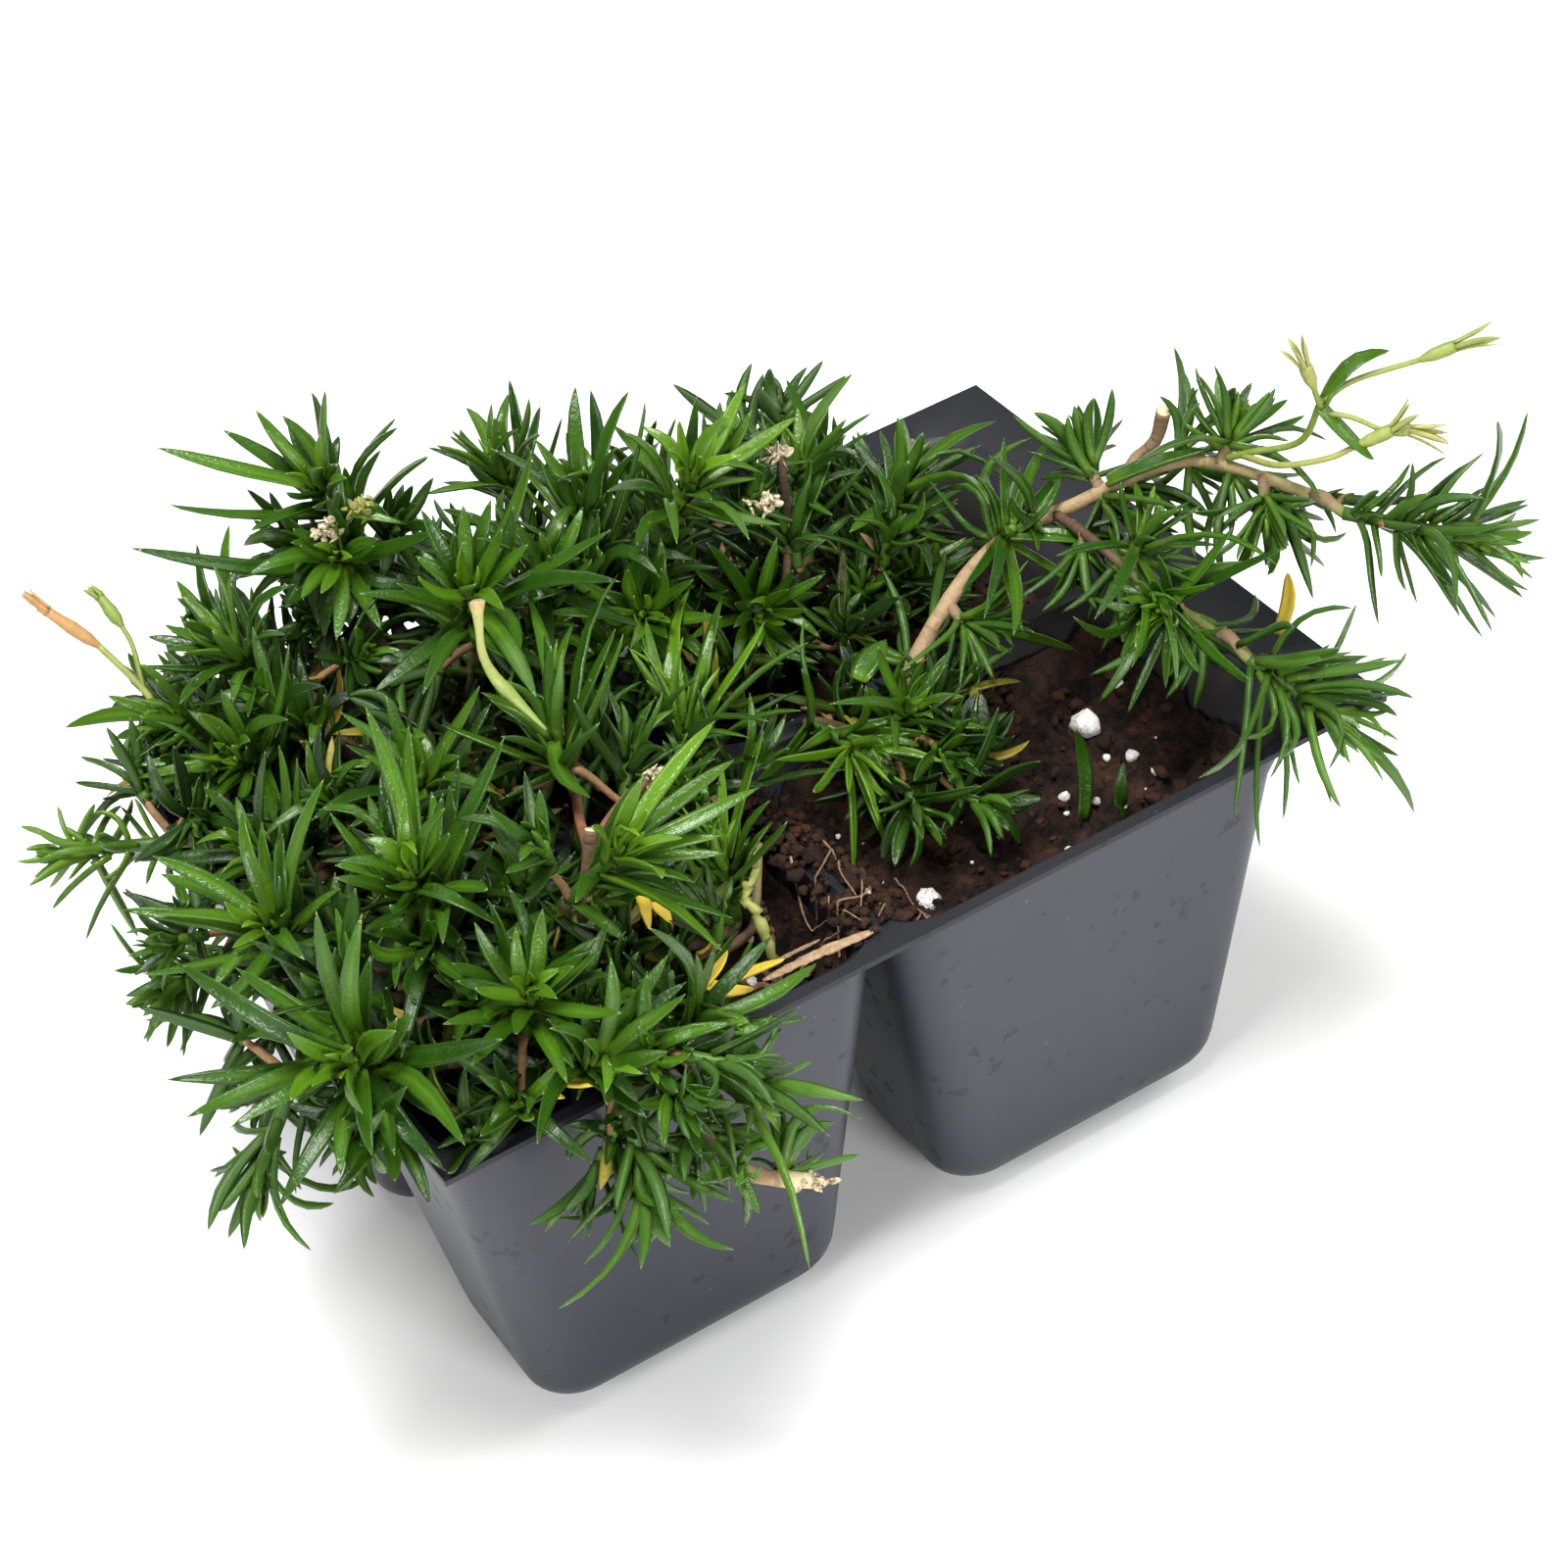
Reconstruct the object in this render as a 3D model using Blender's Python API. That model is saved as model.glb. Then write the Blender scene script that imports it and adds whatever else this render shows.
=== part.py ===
"""Potted creeping phlox in a four-cell nursery pack, as separate closed solids.

The pack is one thin formed sheet: a flat rim with four tapered cells hanging from it.  Each cell
holds a plug of peaty soil.  A plant stands in a plain hole in each plug: a short trunk with woody
branches, and at the end of each branch a leafy shoot with narrow pointed leaves.  One plant has a
long arching stem, which carries faded calyxes on thin stalks, and so has another at the far left.

Sizes are millimetres from the middle of the pack at ground level, with the pack's long front edge
along X, its back towards +Y and up +Z.  The meshes are made in metres, and the origin ends up
under the middle of the whole plant's box.
"""
import math

import bmesh
import bpy
import numpy as np
from mathutils import Matrix
from mathutils.bvhtree import BVHTree

MM = 0.001

# The pack
PACK_X = 133.0
PACK_Y = 91.0
PACK_Z = 59.0
SHEET = 0.8
CELL_X = 57.6
CELL_Y = 40.0
WEB = 2.4
FLANGE_LEFT = 2.0
FLANGE_FRONT = 2.4
CELL_TAPER = 8.3
CELL_CORNER = 6.0
FOOT_ROUNDING = {0.0: 4.5, 2.0: 1.6, 5.0: 0.4}
DRAIN_HOLE = 3.6
CORNER_POINTS = 5

# The soil
SOIL_TOP = 50.0
SOIL_RELIEF = 1.1
FIT_GAP = 0.3
TRUNK_RADIUS = 1.9
TRUNK_FOOT = 38.0
TRUNK_HEAD = 54.5

# Leaves, measured on the plant
LEAF_THICKNESS = 0.8
LONGEST_LEAF = 26.0
LONG_LEAF = 15.5
LEAVES_PER_SHOOT = 12
LEAVES_IF_HIDDEN = 10
CLEARANCE = 0.36
STEM_SIDES = 5
KEEL_SHARE = 0.35

# The side from which the leaves' clock hours are counted: turned to the right of the pack's front
# and looking down on it
VIEW_TURN = 26.0
VIEW_DROP = 39.7


def unit(v):
    """The vector at length one."""
    return v / np.linalg.norm(v)


def heading(azimuth, rise):
    """The direction with this azimuth from +X towards +Y and this rise above level."""
    a, r = math.radians(azimuth), math.radians(rise)
    return np.array([math.cos(r) * math.cos(a), math.cos(r) * math.sin(a), math.sin(r)])


def across(v, axis):
    """The part of v that is square to axis, at length one."""
    return unit(v - np.dot(v, axis) * axis)


UP = np.array([0.0, 0.0, 1.0])
TO_EYE = -heading(90.0 - VIEW_TURN, -VIEW_DROP)
EYE_RIGHT = heading(-VIEW_TURN, 0.0)
EYE_UP = np.cross(TO_EYE, EYE_RIGHT)


# Meshes and materials

def material(name, colour, roughness, metallic=0.0):
    """A plain Principled finish."""
    made = bpy.data.materials.new(name)
    made.use_nodes = True
    shader = made.node_tree.nodes["Principled BSDF"]
    shader.inputs["Base Color"].default_value = (*colour, 1.0)
    shader.inputs["Roughness"].default_value = roughness
    shader.inputs["Metallic"].default_value = metallic
    return made


def solid(name, verts, faces, finish):
    """A mesh object from points in millimetres, with doubles merged and faces out."""
    mesh = bpy.data.meshes.new(name)
    mesh.from_pydata((np.asarray(verts) * MM).tolist(), [], faces)
    work = bmesh.new()
    work.from_mesh(mesh)
    bmesh.ops.remove_doubles(work, verts=work.verts, dist=1e-7)
    bmesh.ops.recalc_face_normals(work, faces=work.faces)
    work.to_mesh(mesh)
    work.free()
    mesh.materials.append(finish)
    made = bpy.data.objects.new(name, mesh)
    bpy.context.scene.collection.objects.link(made)
    return made


def fuse(body, repeats, name):
    """One Boolean union of the body with all its repeats, applied; the repeats are then removed."""
    group = bpy.data.collections.new(name + "_repeats")
    for repeat in repeats:
        bpy.context.scene.collection.objects.unlink(repeat)
        group.objects.link(repeat)
    bpy.context.scene.collection.children.link(group)
    union = body.modifiers.new("union", "BOOLEAN")
    union.operation = "UNION"
    union.operand_type = "COLLECTION"
    union.collection = group
    union.solver = "MANIFOLD"
    bpy.context.view_layer.update()
    evaluated = body.evaluated_get(bpy.context.evaluated_depsgraph_get())
    fused = bpy.data.meshes.new_from_object(evaluated)
    body.modifiers.clear()
    body.data = fused
    for repeat in list(group.objects):
        bpy.data.objects.remove(repeat)
    bpy.data.collections.remove(group)
    return body


class Skin:
    """Points and faces of one solid, put together ring by ring."""

    def __init__(self):
        self.points = []
        self.faces = []

    def ring(self, points):
        """Adds a ring of points and returns their numbers."""
        start = len(self.points)
        self.points.extend(np.asarray(points, float).tolist())
        return list(range(start, len(self.points)))

    def band(self, a, b):
        """Joins two rings of equal count, each four-sided face split the same way in two."""
        for k in range(len(a)):
            n = (k + 1) % len(a)
            self.faces += [[a[k], a[n], b[n]], [a[k], b[n], b[k]]]

    def fan(self, ring, apex):
        """Joins a ring to one point."""
        n = len(ring)
        self.faces.extend([ring[k], ring[(k + 1) % n], apex] for k in range(n))

    def cap(self, ring):
        """Closes a ring with one face."""
        self.faces.append(list(ring))


# The pack and its soil

CELL_LEFT = [-PACK_X / 2 + FLANGE_LEFT + k * (CELL_X + WEB) for k in range(2)]
CELL_FRONT = [-PACK_Y / 2 + FLANGE_FRONT + k * (CELL_Y + WEB) for k in range(2)]
FRAME_X = [-PACK_X / 2, CELL_LEFT[1] - WEB / 2, PACK_X / 2]
FRAME_Y = [-PACK_Y / 2, CELL_FRONT[1] - WEB / 2, PACK_Y / 2]


def wall_inset(z):
    """How far the outside of a cell's wall stands inside the cell's opening at height z."""
    low = sorted(FOOT_ROUNDING)
    rounding = np.interp(z, low + [low[-1] + 3.0], [FOOT_ROUNDING[k] for k in low] + [0.0])
    return CELL_TAPER * (PACK_Z - z) / PACK_Z - SHEET + float(rounding)


def cell_ring(column, row, z, inset):
    """The rounded rectangle of one cell at height z, moved inwards by inset."""
    x0, y0 = CELL_LEFT[column] + inset, CELL_FRONT[row] + inset
    x1, y1 = CELL_LEFT[column] + CELL_X - inset, CELL_FRONT[row] + CELL_Y - inset
    r = CELL_CORNER
    points = []
    corners = ((x1 - r, y0 + r, -90), (x1 - r, y1 - r, 0), (x0 + r, y1 - r, 90), (x0 + r, y0 + r, 180))
    for cx, cy, start in corners:
        for k in range(CORNER_POINTS):
            a = math.radians(start + 90 * k / (CORNER_POINTS - 1))
            points.append((cx + r * math.cos(a), cy + r * math.sin(a), z))
    return np.array(points)


def frame_ring(column, row, z):
    """The cell's share of the rim: the cell's opening carried out to the lines between cells."""
    x0, x1 = FRAME_X[column], FRAME_X[column + 1]
    y0, y1 = FRAME_Y[row], FRAME_Y[row + 1]
    opening = cell_ring(column, row, z, 0.0)
    middle = (CORNER_POINTS - 1) // 2
    points = []
    for corner, (cx, cy) in enumerate(((x1, y0), (x1, y1), (x0, y1), (x0, y0))):
        first = opening[corner * CORNER_POINTS]
        last = opening[corner * CORNER_POINTS + CORNER_POINTS - 1]
        start = (first[0], cy, z) if corner % 2 == 0 else (cx, first[1], z)
        end = (cx, last[1], z) if corner % 2 == 0 else (last[0], cy, z)
        for k in range(CORNER_POINTS):
            side = np.array(start if k < middle else end)
            share = abs(k - middle) / middle
            points.append(np.array([cx, cy, z]) + (side - [cx, cy, z]) * share)
    return np.array(points)


def circle(cx, cy, z, radius, count):
    """A ring of points round a centre, in step with a cell's ring, whose first corner is at -45."""
    first = -45.0 - 360.0 / count * (CORNER_POINTS - 1) / 2
    a = np.radians(first + np.arange(count) * 360.0 / count)
    return np.stack([cx + radius * np.cos(a), cy + radius * np.sin(a), np.full(count, z)], axis=1)


def cell_middle(column, row):
    """The middle of a cell's opening."""
    return CELL_LEFT[column] + CELL_X / 2, CELL_FRONT[row] + CELL_Y / 2


def on_outline(a, b):
    """Whether both points lie on one side of the pack's outer edge."""
    for axis, half in ((0, PACK_X / 2), (1, PACK_Y / 2)):
        for sign in (-1, 1):
            if abs(a[axis] - sign * half) < 1e-6 and abs(b[axis] - sign * half) < 1e-6:
                return True
    return False


def make_pack(finish):
    """The four-cell pack: rim, four thin cells and a drain hole in each floor."""
    skin = Skin()
    feet = sorted(FOOT_ROUNDING, reverse=True)
    count = 4 * CORNER_POINTS
    for column in range(2):
        for row in range(2):
            cx, cy = cell_middle(column, row)
            top = skin.ring(frame_ring(column, row, PACK_Z))
            under = skin.ring(frame_ring(column, row, PACK_Z - SHEET))
            inner = [skin.ring(cell_ring(column, row, PACK_Z, 0.0))]
            outer = [skin.ring(cell_ring(column, row, PACK_Z - SHEET, wall_inset(PACK_Z - SHEET)))]
            for z in feet:
                inner.append(skin.ring(cell_ring(column, row, z + SHEET, wall_inset(z) + SHEET)))
                outer.append(skin.ring(cell_ring(column, row, z, wall_inset(z))))
            inner.append(skin.ring(circle(cx, cy, SHEET, DRAIN_HOLE, count)))
            outer.append(skin.ring(circle(cx, cy, 0.0, DRAIN_HOLE, count)))
            skin.band(top, inner[0])
            skin.band(under, outer[0])
            for walls in (inner, outer):
                for a, b in zip(walls, walls[1:]):
                    skin.band(a, b)
            skin.band(inner[-1], outer[-1])
            for k in range(count):
                n = (k + 1) % count
                if on_outline(skin.points[top[k]], skin.points[top[n]]):
                    skin.faces.append([top[k], top[n], under[n], under[k]])
    return solid("cell_pack", skin.points, skin.faces, finish)


def soil_height(x, y):
    """The soil's rolling surface: three crossed waves about its mean level."""
    wave = np.sin(x / 5.1 + 0.6) * np.cos(y / 4.3)
    wave = wave + 0.6 * np.sin((x + y) / 3.1) + 0.5 * np.cos((x - y) / 2.3)
    return SOIL_TOP + SOIL_RELIEF * wave / 1.6


def make_soil(name, column, row, crown, finish):
    """A plug of soil, a fit gap clear of the cell, with a plain hole for the trunk."""
    skin = Skin()
    count = 4 * CORNER_POINTS
    clear = SHEET + FIT_GAP
    rings = []
    for z in sorted(FOOT_ROUNDING):
        rings.append(skin.ring(cell_ring(column, row, z + clear, wall_inset(z) + clear)))
    rim = cell_ring(column, row, SOIL_TOP, wall_inset(SOIL_TOP) + clear)
    hole = circle(crown[0], crown[1], 0.0, TRUNK_RADIUS + FIT_GAP + 0.15, count)
    for share in (0.0, 0.3, 0.62, 1.0):
        ring = rim + (hole - rim) * share
        ring[:, 2] = soil_height(ring[:, 0], ring[:, 1])
        rings.append(skin.ring(ring))
    foot = hole.copy()
    foot[:, 2] = TRUNK_FOOT - FIT_GAP
    rings.append(skin.ring(foot))
    for a, b in zip(rings, rings[1:]):
        skin.band(a, b)
    skin.cap(rings[0])
    skin.cap(rings[-1])
    return solid(name, skin.points, skin.faces, finish)


# The plants: crowns, long stems and shoots

CROWNS = {
    "front_left": (-34.0, -20.0),
    "back_left": (-35.0, 20.0),
    "back_right": (19.0, 24.0),
    "front_right": (18.0, -12.0),
}

# Stems with a route of their own: plant, thickness at each end, and the points they pass
ROUTES = {
    "long_stem": ("front_right", 1.45, 0.85, [(18, -12, 52.5), (20, -7, 58), (26, -4, 64),
                                              (38, -2, 71), (50, -7, 76), (58, -12, 80),
                                              (62, -19, 82), (66.5, -31.5, 82)]),
    "side_stem": ("front_right", 1.0, 0.8, [(46, -5.5, 74.5), (46, -14, 75), (47, -23, 73),
                                            (50.5, -33, 69.5)]),
    "cut_stub": ("front_right", 1.0, 1.2, [(54, -9, 78), (57, -8, 79.5), (59, -9.5, 82), (59.5, -11, 87)]),
    "forked_stem": ("front_left", 1.2, 1.3, [(-34, -20, 53), (-36.5, -25, 63), (-35, -26, 72),
                                             (-32.5, -24.5, 78)]),
    "fork_back_arm": ("front_left", 1.1, 0.9, [(-33.2, -24.8, 75.5), (-31, -18, 74), (-28, -11, 72)]),
    "fork_front_arm": ("front_left", 0.9, 1.2, [(-33.4, -24.8, 75.5), (-28, -24, 79), (-23.5, -24, 81)]),
    "creeping_twig": ("front_left", 1.1, 0.8, [(-34, -20, 52.8), (-25, -27, 54), (-16, -26.5, 53.5),
                                                (-13.5, -25, 56.5), (-10, -21, 61)]),
    "trimmed_stem": ("front_left", 1.2, 1.5, [(-34, -20, 53.5), (-40, -34, 63), (-40.5, -46, 64.5),
                                               (-37.5, -54, 54), (-35, -57, 49.5), (-29, -61, 47.5)]),
    "browned_stem": ("back_right", 1.0, 0.9, [(19, 24, 53.5), (17, 16, 64), (19.5, 17, 74),
                                              (20.5, 18.5, 83)]),
}

# Each shoot: the plant and the point its branch leaves from (none for the crown), its tip, the way
# it points (azimuth and rise), the length of its green stem, its leaves' length and width, how far
# they open from the stem, and the leaves seen from the front as clock hour and length
SHOOTS = {
    "front_left_1": ("front_left", None, (-69, -12, 76), (200, 60), 14, (17, 2.6), 58,
                     "10.3:16 11.7:14 1.0:18 4.3:7 9.5:17 8.6:15 6.9:7"),
    "front_left_2": ("front_left", None, (-54, -22, 82), (235, 72), 15, (17, 2.6), 55,
                     "11.8:20 12:19 1.4:19 2:9 3.7:11 5.1:8 9.4:8 10.5:12 5.6:8"),
    "front_left_3": ("front_left", None, (-70, -33, 70), (225, 40), 13, (19, 3.0), 62,
                     "10.4:22 10.6:16 11.9:17 0.5:17 1.9:9 2.9:19 4.3:16 5.3:11 6.4:12 7.2:17 "
                    "8.7:19 9.2:20 11:8"),
    "front_left_4": ("front_left", None, (-82, -25, 52), (195, -50), 13, (11, 2.0), 50,
                     "10:5 6.4:8 5.4:11 3.7:11 4.4:9 10.9:6 7.6:8"),
    "front_left_5": ("front_left", (-28, -11, 72), (-27.5, -6, 79), (85, 62), 6, (17, 2.6), 50,
                     "11.9:19 0.7:22 0.4:15 1.3:15 1.7:15 10.7:11 7.5:9 5.2:9"),
    "front_left_6": ("front_left", None, (-33, -34, 82), (305, 50), 13, (16, 2.4), 60,
                     "2.5:17 2:17 1.5:19 3:12 4.6:16 4.1:9 3.9:15 0.9:10 7.4:8"),
    "front_left_7": ("front_left", None, (-50, -41, 75), (265, 62), 13, (15, 2.4), 58,
                     "0.5:10 9.9:8 3.6:11 1.9:10 7.6:9 8.8:9 5.3:9 11.6:12"),
    "front_left_8": ("front_left", None, (-46, -49, 68), (285, 35), 12, (15, 2.3), 58,
                     "0.2:13 1.4:14 2.6:11 10.6:9 7.5:9 3.7:9 4.9:8"),
    "front_left_9": ("front_left", None, (-32, -47, 64), (308, 32), 8, (15, 2.2), 56,
                     "2.4:15 1.6:13 11.7:12 0.8:9 4.7:9 6.7:8 3.3:12"),
    "front_left_10": ("front_left", None, (-46.5, -54.5, 50), (253, -58), 13, (13, 2.2), 62,
                      "8.3:12 7.3:16 6.2:9 5.4:7 4.5:13 9.9:9 11.6:11 1.2:9"),
    "front_left_11": ("front_left", None, (-31, -53, 57), (320, -28), 9, (13, 2.2), 60,
                      "5.4:21 3.3:12 1.5:8 3.9:11 0.5:9 10.6:8 6.4:13"),
    "front_left_12": ("front_left", None, (-16, -23, 65), (75, 78), 10, (12, 1.6), 35,
                      "0.3:11 0.9:16 0.7:9 11.6:9 2.2:9"),
    "front_left_13": ("front_left", None, (-47, -12, 70), (120, 70), 10, (15, 2.4), 60,
                      "1.2:12 10.8:12 3.2:10 8.4:10"),
    "front_left_14": ("front_left", None, (-10, -5, 70), (55, 60), 8, (18, 2.2), 42,
                      "0.2:20 0.8:18 1.9:19 1.5:17 3:17 2.6:14 11.5:17 3.9:9"),
    "back_left_1": ("back_left", None, (-31, 46, 88), (205, 68), 15, (16, 2.6), 58,
                    "9.7:21 10.3:15 11.3:11 0.2:13 1.8:13 2.3:13 8.9:19 1.3:9 2.9:15"),
    "back_left_2": ("back_left", None, (-34, 37, 83), (245, 40), 12, (13, 2.6), 60,
                    "6.2:11 5.2:11 2.9:14 8.9:11 9.4:24 7.7:9 1.6:8"),
    "back_left_3": ("back_left", None, (-51, 37, 78), (150, 62), 13, (15, 2.4), 52,
                    "11.5:15 0.2:16 2.8:8 9.6:11 5.6:9 7.4:9"),
    "back_left_4": ("back_left", None, (-61, 35, 72), (170, 25), 12, (14, 2.4), 58,
                    "9.2:16 8.8:10 10.9:12 7.5:8 2:8"),
    "back_left_5": ("back_left", None, (-25, 17, 85), (255, 65), 14, (18, 2.8), 60,
                    "5.1:21 1.2:19 0.7:12 10.5:8 2.5:19 3.2:19 5:10 6.9:13 9.2:13 11.8:8"),
    "back_left_6": ("back_left", None, (-57, 25, 70), (205, 48), 12, (15, 2.4), 58,
                    "9:13 1.3:16 11.8:9 8.2:9 5:10 6.8:9"),
    "back_left_7": ("back_left", None, (-80, 33, 62), (150, 2), 15, (10, 1.7), 60,
                    "11.6:6 0.7:6 1.4:7 1.9:9 7.7:6 6.9:8 6.3:11 5.4:13"),
    "back_left_8": ("back_left", None, (-80, 2, 60), (185, -8), 12, (11, 2.0), 56,
                    "11.1:10 10.1:7 6.5:7 7.4:7 5.2:8"),
    "back_left_9": ("back_left", None, (-6, 48, 78), (110, 62), 14, (15, 2.2), 50,
                     "11.4:12 10.8:9 1.9:7 3.3:10 1.2:10 0.4:13"),
    "back_left_10": ("back_left", None, (-48, 48, 70), (130, 35), 12, (16, 2.4), 58, "11:9 0.4:10 9:9"),
    "back_left_11": ("back_left", None, (-20, 49, 67), (95, 28), 12, (16, 2.4), 58, "0.5:8 11.2:8"),
    "back_left_12": ("back_left", None, (-42, 3, 73), (225, 72), 11, (16, 2.4), 62,
                     "1.4:14 3.4:13 8.6:13 10.6:13 5.9:10"),
    "back_left_13": ("back_left", None, (-63, 8, 69), (190, 48), 11, (15, 2.2), 60,
                     "9.3:12 0.6:13 3:11 7.4:10 11:11"),
    "back_right_1": ("back_right", None, (-4, 26, 82), (100, 84), 13, (18, 2.8), 34,
                     "0.1:17 0.8:17 1.2:16 11.1:12 1.9:11 10.2:9"),
    "back_right_2": ("back_right", None, (8, 18, 86), (300, 64), 14, (15, 2.4), 58,
                     "1.2:14 1.6:12 1.9:16 3.4:8 4.3:13 5.1:13 6.4:13 8.7:17 10.4:10 0.4:11"),
    "back_right_3": ("back_right", None, (-5, 12, 74), (250, 45), 11, (14, 2.4), 60,
                     "9.3:12 10.2:11 7.4:9 5.2:11 3.5:10 0.9:8"),
    "back_right_4": ("back_right", None, (26, 25, 76), (60, 62), 13, (16, 2.4), 56,
                     "1.3:15 0.1:14 2.1:12 2.9:9 5.2:8 7.8:10 10.9:10"),
    "back_right_5": ("back_right", None, (37, 17, 72), (20, 55), 13, (16, 2.6), 58,
                     "2.1:16 3.6:12 0.9:9 7.9:9 5.1:11 11.2:10"),
    "back_right_6": ("back_right", None, (12, 14, 64), (262, 32), 8, (13, 1.9), 58,
                     "11.1:11 0.8:10 2.3:10 6.6:8 4.6:8 8.6:9"),
    "back_right_7": ("back_right", None, (36, 12, 61), (335, 38), 9, (12, 1.9), 58,
                     "10.6:10 0.9:9 2.4:9 4.1:9 7.6:8 9:9"),
    "back_right_8": ("back_right", None, (12, 41, 69), (85, 48), 12, (15, 2.2), 56, "11:9 0.4:10 2:8"),
    "back_right_9": ("back_right", None, (34, 37, 65), (55, 42), 11, (14, 2.0), 56, "0.8:9 2.6:8 11:8"),
    "front_right_1": ("front_right", None, (8, -17, 63), (285, 0), 9, (16, 1.7), 60,
                      "9:10 7.7:17 6.4:16 5.7:17 5.1:16 4.8:15 4.1:17 4.4:20 3.6:20 3.2:14 11.2:11"),
    "front_right_2": ("front_right", None, (17, -15, 64), (290, 45), 7, (11, 1.8), 58,
                      "11.4:9 9.5:10 1.4:9 3.7:10 4.8:10 7:9"),
    "front_right_3": ("front_right", (37.6, -2.1, 70.8), (39.6, -5.2, 75.4), (300, 52), 3, (15, 1.7), 62,
                      "1.2:16 1.7:13 3.1:21 3.4:19 6.1:16 6.6:11 12:10"),
    "front_right_4": ("front_right", (30, -3.2, 66.3), (31.4, -7.1, 63.5), (290, -35), 3, (14, 1.7), 60,
                      "6.7:14 5.2:14 4.8:16 4.4:18 3.6:20 5.8:12 1.9:10 7.8:10"),
    "front_right_5": ("front_right", (46.6, -20, 74), (49.2, -19.8, 78), (5, 58), 3, (14, 1.6), 58,
                      "2.7:12 3.2:17 1.5:10 5.6:15 7:14 6.2:12 9.4:9"),
    "front_right_6": ("front_right", (48.5, -28, 71.4), (44.8, -29.3, 74), (200, 32), 3, (12, 1.6), 62,
                      "1.2:10 6.8:10 6.2:10 5.2:11 8.9:8 10.4:9 2.6:11"),
    "front_right_7": ("front_right", (50.5, -33, 69.5), (57, -47, 61.5), (300, -30), 12.5, (17, 1.8), 56,
                      "3.1:20 3.8:21 3.5:16 4.3:16 4.8:16 5.3:15 5.9:16 6.4:16 6.8:20 7.2:18 "
                      "7.8:18 2.4:10 1.5:8"),
    "front_right_8": ("front_right", (66.5, -31.5, 82), (78.5, -49, 79), (308, -6), 17, (16, 1.8), 52,
                      "1:13 1.6:17 2.1:15 2.7:14 3.2:13 3.8:15 4.7:15 5.4:15 6.5:13 7.3:10 11.6:8 4.2:12"),
    "front_right_9": ("front_right", (64, -25, 82), (62.6, -28.2, 78.4), (250, -44), 3, (12, 1.6), 60,
                      "4.7:14 4.2:10 5.7:11 3.5:10 7.7:8 6.6:11 8.4:10"),
    "front_right_10": ("front_right", (51.5, -7.6, 76.8), (52.3, -2.8, 80), (80, 34), 4, (12, 1.8), 46,
                       "10.8:12 11.3:9 0.1:11 1:9 2.2:11 9.6:7"),
    "front_right_11": ("front_right", (62, -19, 82), (65.2, -17.9, 85.6), (20, 48), 3, (13, 1.8), 50,
                       "1.5:11 2.3:13 0.9:8 3.2:8 4:12 9:12 10.8:7"),
}

# How far behind the tip the clock hours of a long shoot are counted from
HEARTS = {"front_right_7": 6.0, "front_right_8": 7.0, "back_left_7": 2.0, "front_left_10": 3.0,
          "front_right_3": 5.0, "front_right_4": 5.0, "front_right_5": 5.0, "front_right_6": 5.0,
          "front_right_9": 5.0, "front_right_10": 5.0, "front_right_11": 5.0}
# Shoots that bear leaves down their whole stem
TRAILING = ("front_right_7", "front_right_8", "back_left_7")

# Flower stalks, the flowers fallen and the calyxes left: each has its stalks, as routes with a
# thickness, and its calyxes, as the neck, the mouth and the tips' middle
STALKS = {
    "flower_stalks_right": (
        [(0.6, [(62.3, -20.2, 83.4), (63.5, -23.5, 85.5), (67, -29, 88.5), (68, -32, 95.6)]),
         (0.5, [(68, -31.8, 94.6), (67.2, -32.2, 96.5), (66.8, -32.2, 98)]),
         (0.5, [(67.9, -31.8, 94.8), (72, -33, 97), (80, -36, 98)]),
         (0.45, [(67.9, -31.4, 93.6), (70.5, -34.5, 93.2), (73, -37, 91.5)]),
         (0.55, [(63, -22.2, 84.6), (63.5, -29, 86.5), (67, -34, 88.5), (70, -36, 90)])],
        [(66.8, -32.2, 98), (65.6, -32, 102), (64.6, -31.6, 105)],
        [(80, -36, 98), (84, -38, 99.3), (88, -40.5, 100.5)],
        [(73, -37, 91.5), (76, -39, 91.2), (79, -42, 90)],
        [(70, -36, 90), (74, -38.5, 92), (76.5, -39.5, 94)]),
    "flower_stalks_left": (
        [(0.6, [(-61.9, 35.2, 72.5), (-62.3, 38.5, 75.5), (-65, 43, 81)]),
         (0.45, [(-62.3, 38.2, 75.2), (-61, 42.5, 79), (-61, 45, 81)])],
        [(-65, 43, 81), (-68, 45.5, 85), (-71, 48, 89.5)],
        [(-61, 45, 81), (-61.5, 47.5, 83), (-62.5, 50, 85)]),
}
# The pair of broad leaves at the right stalks' fork: root and tip
STALK_LEAVES = (((68, -32, 95.2), (77, -34, 100.8)), ((68, -31.8, 94.8), (70.5, -39, 89.5)))
CALYX_TEETH = 5
# A calyx's rings: how far from neck to mouth, and the radius
CALYX_RINGS = ((-0.12, 0.35), (0.3, 1.1), (0.72, 1.25), (1.0, 0.85))


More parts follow.
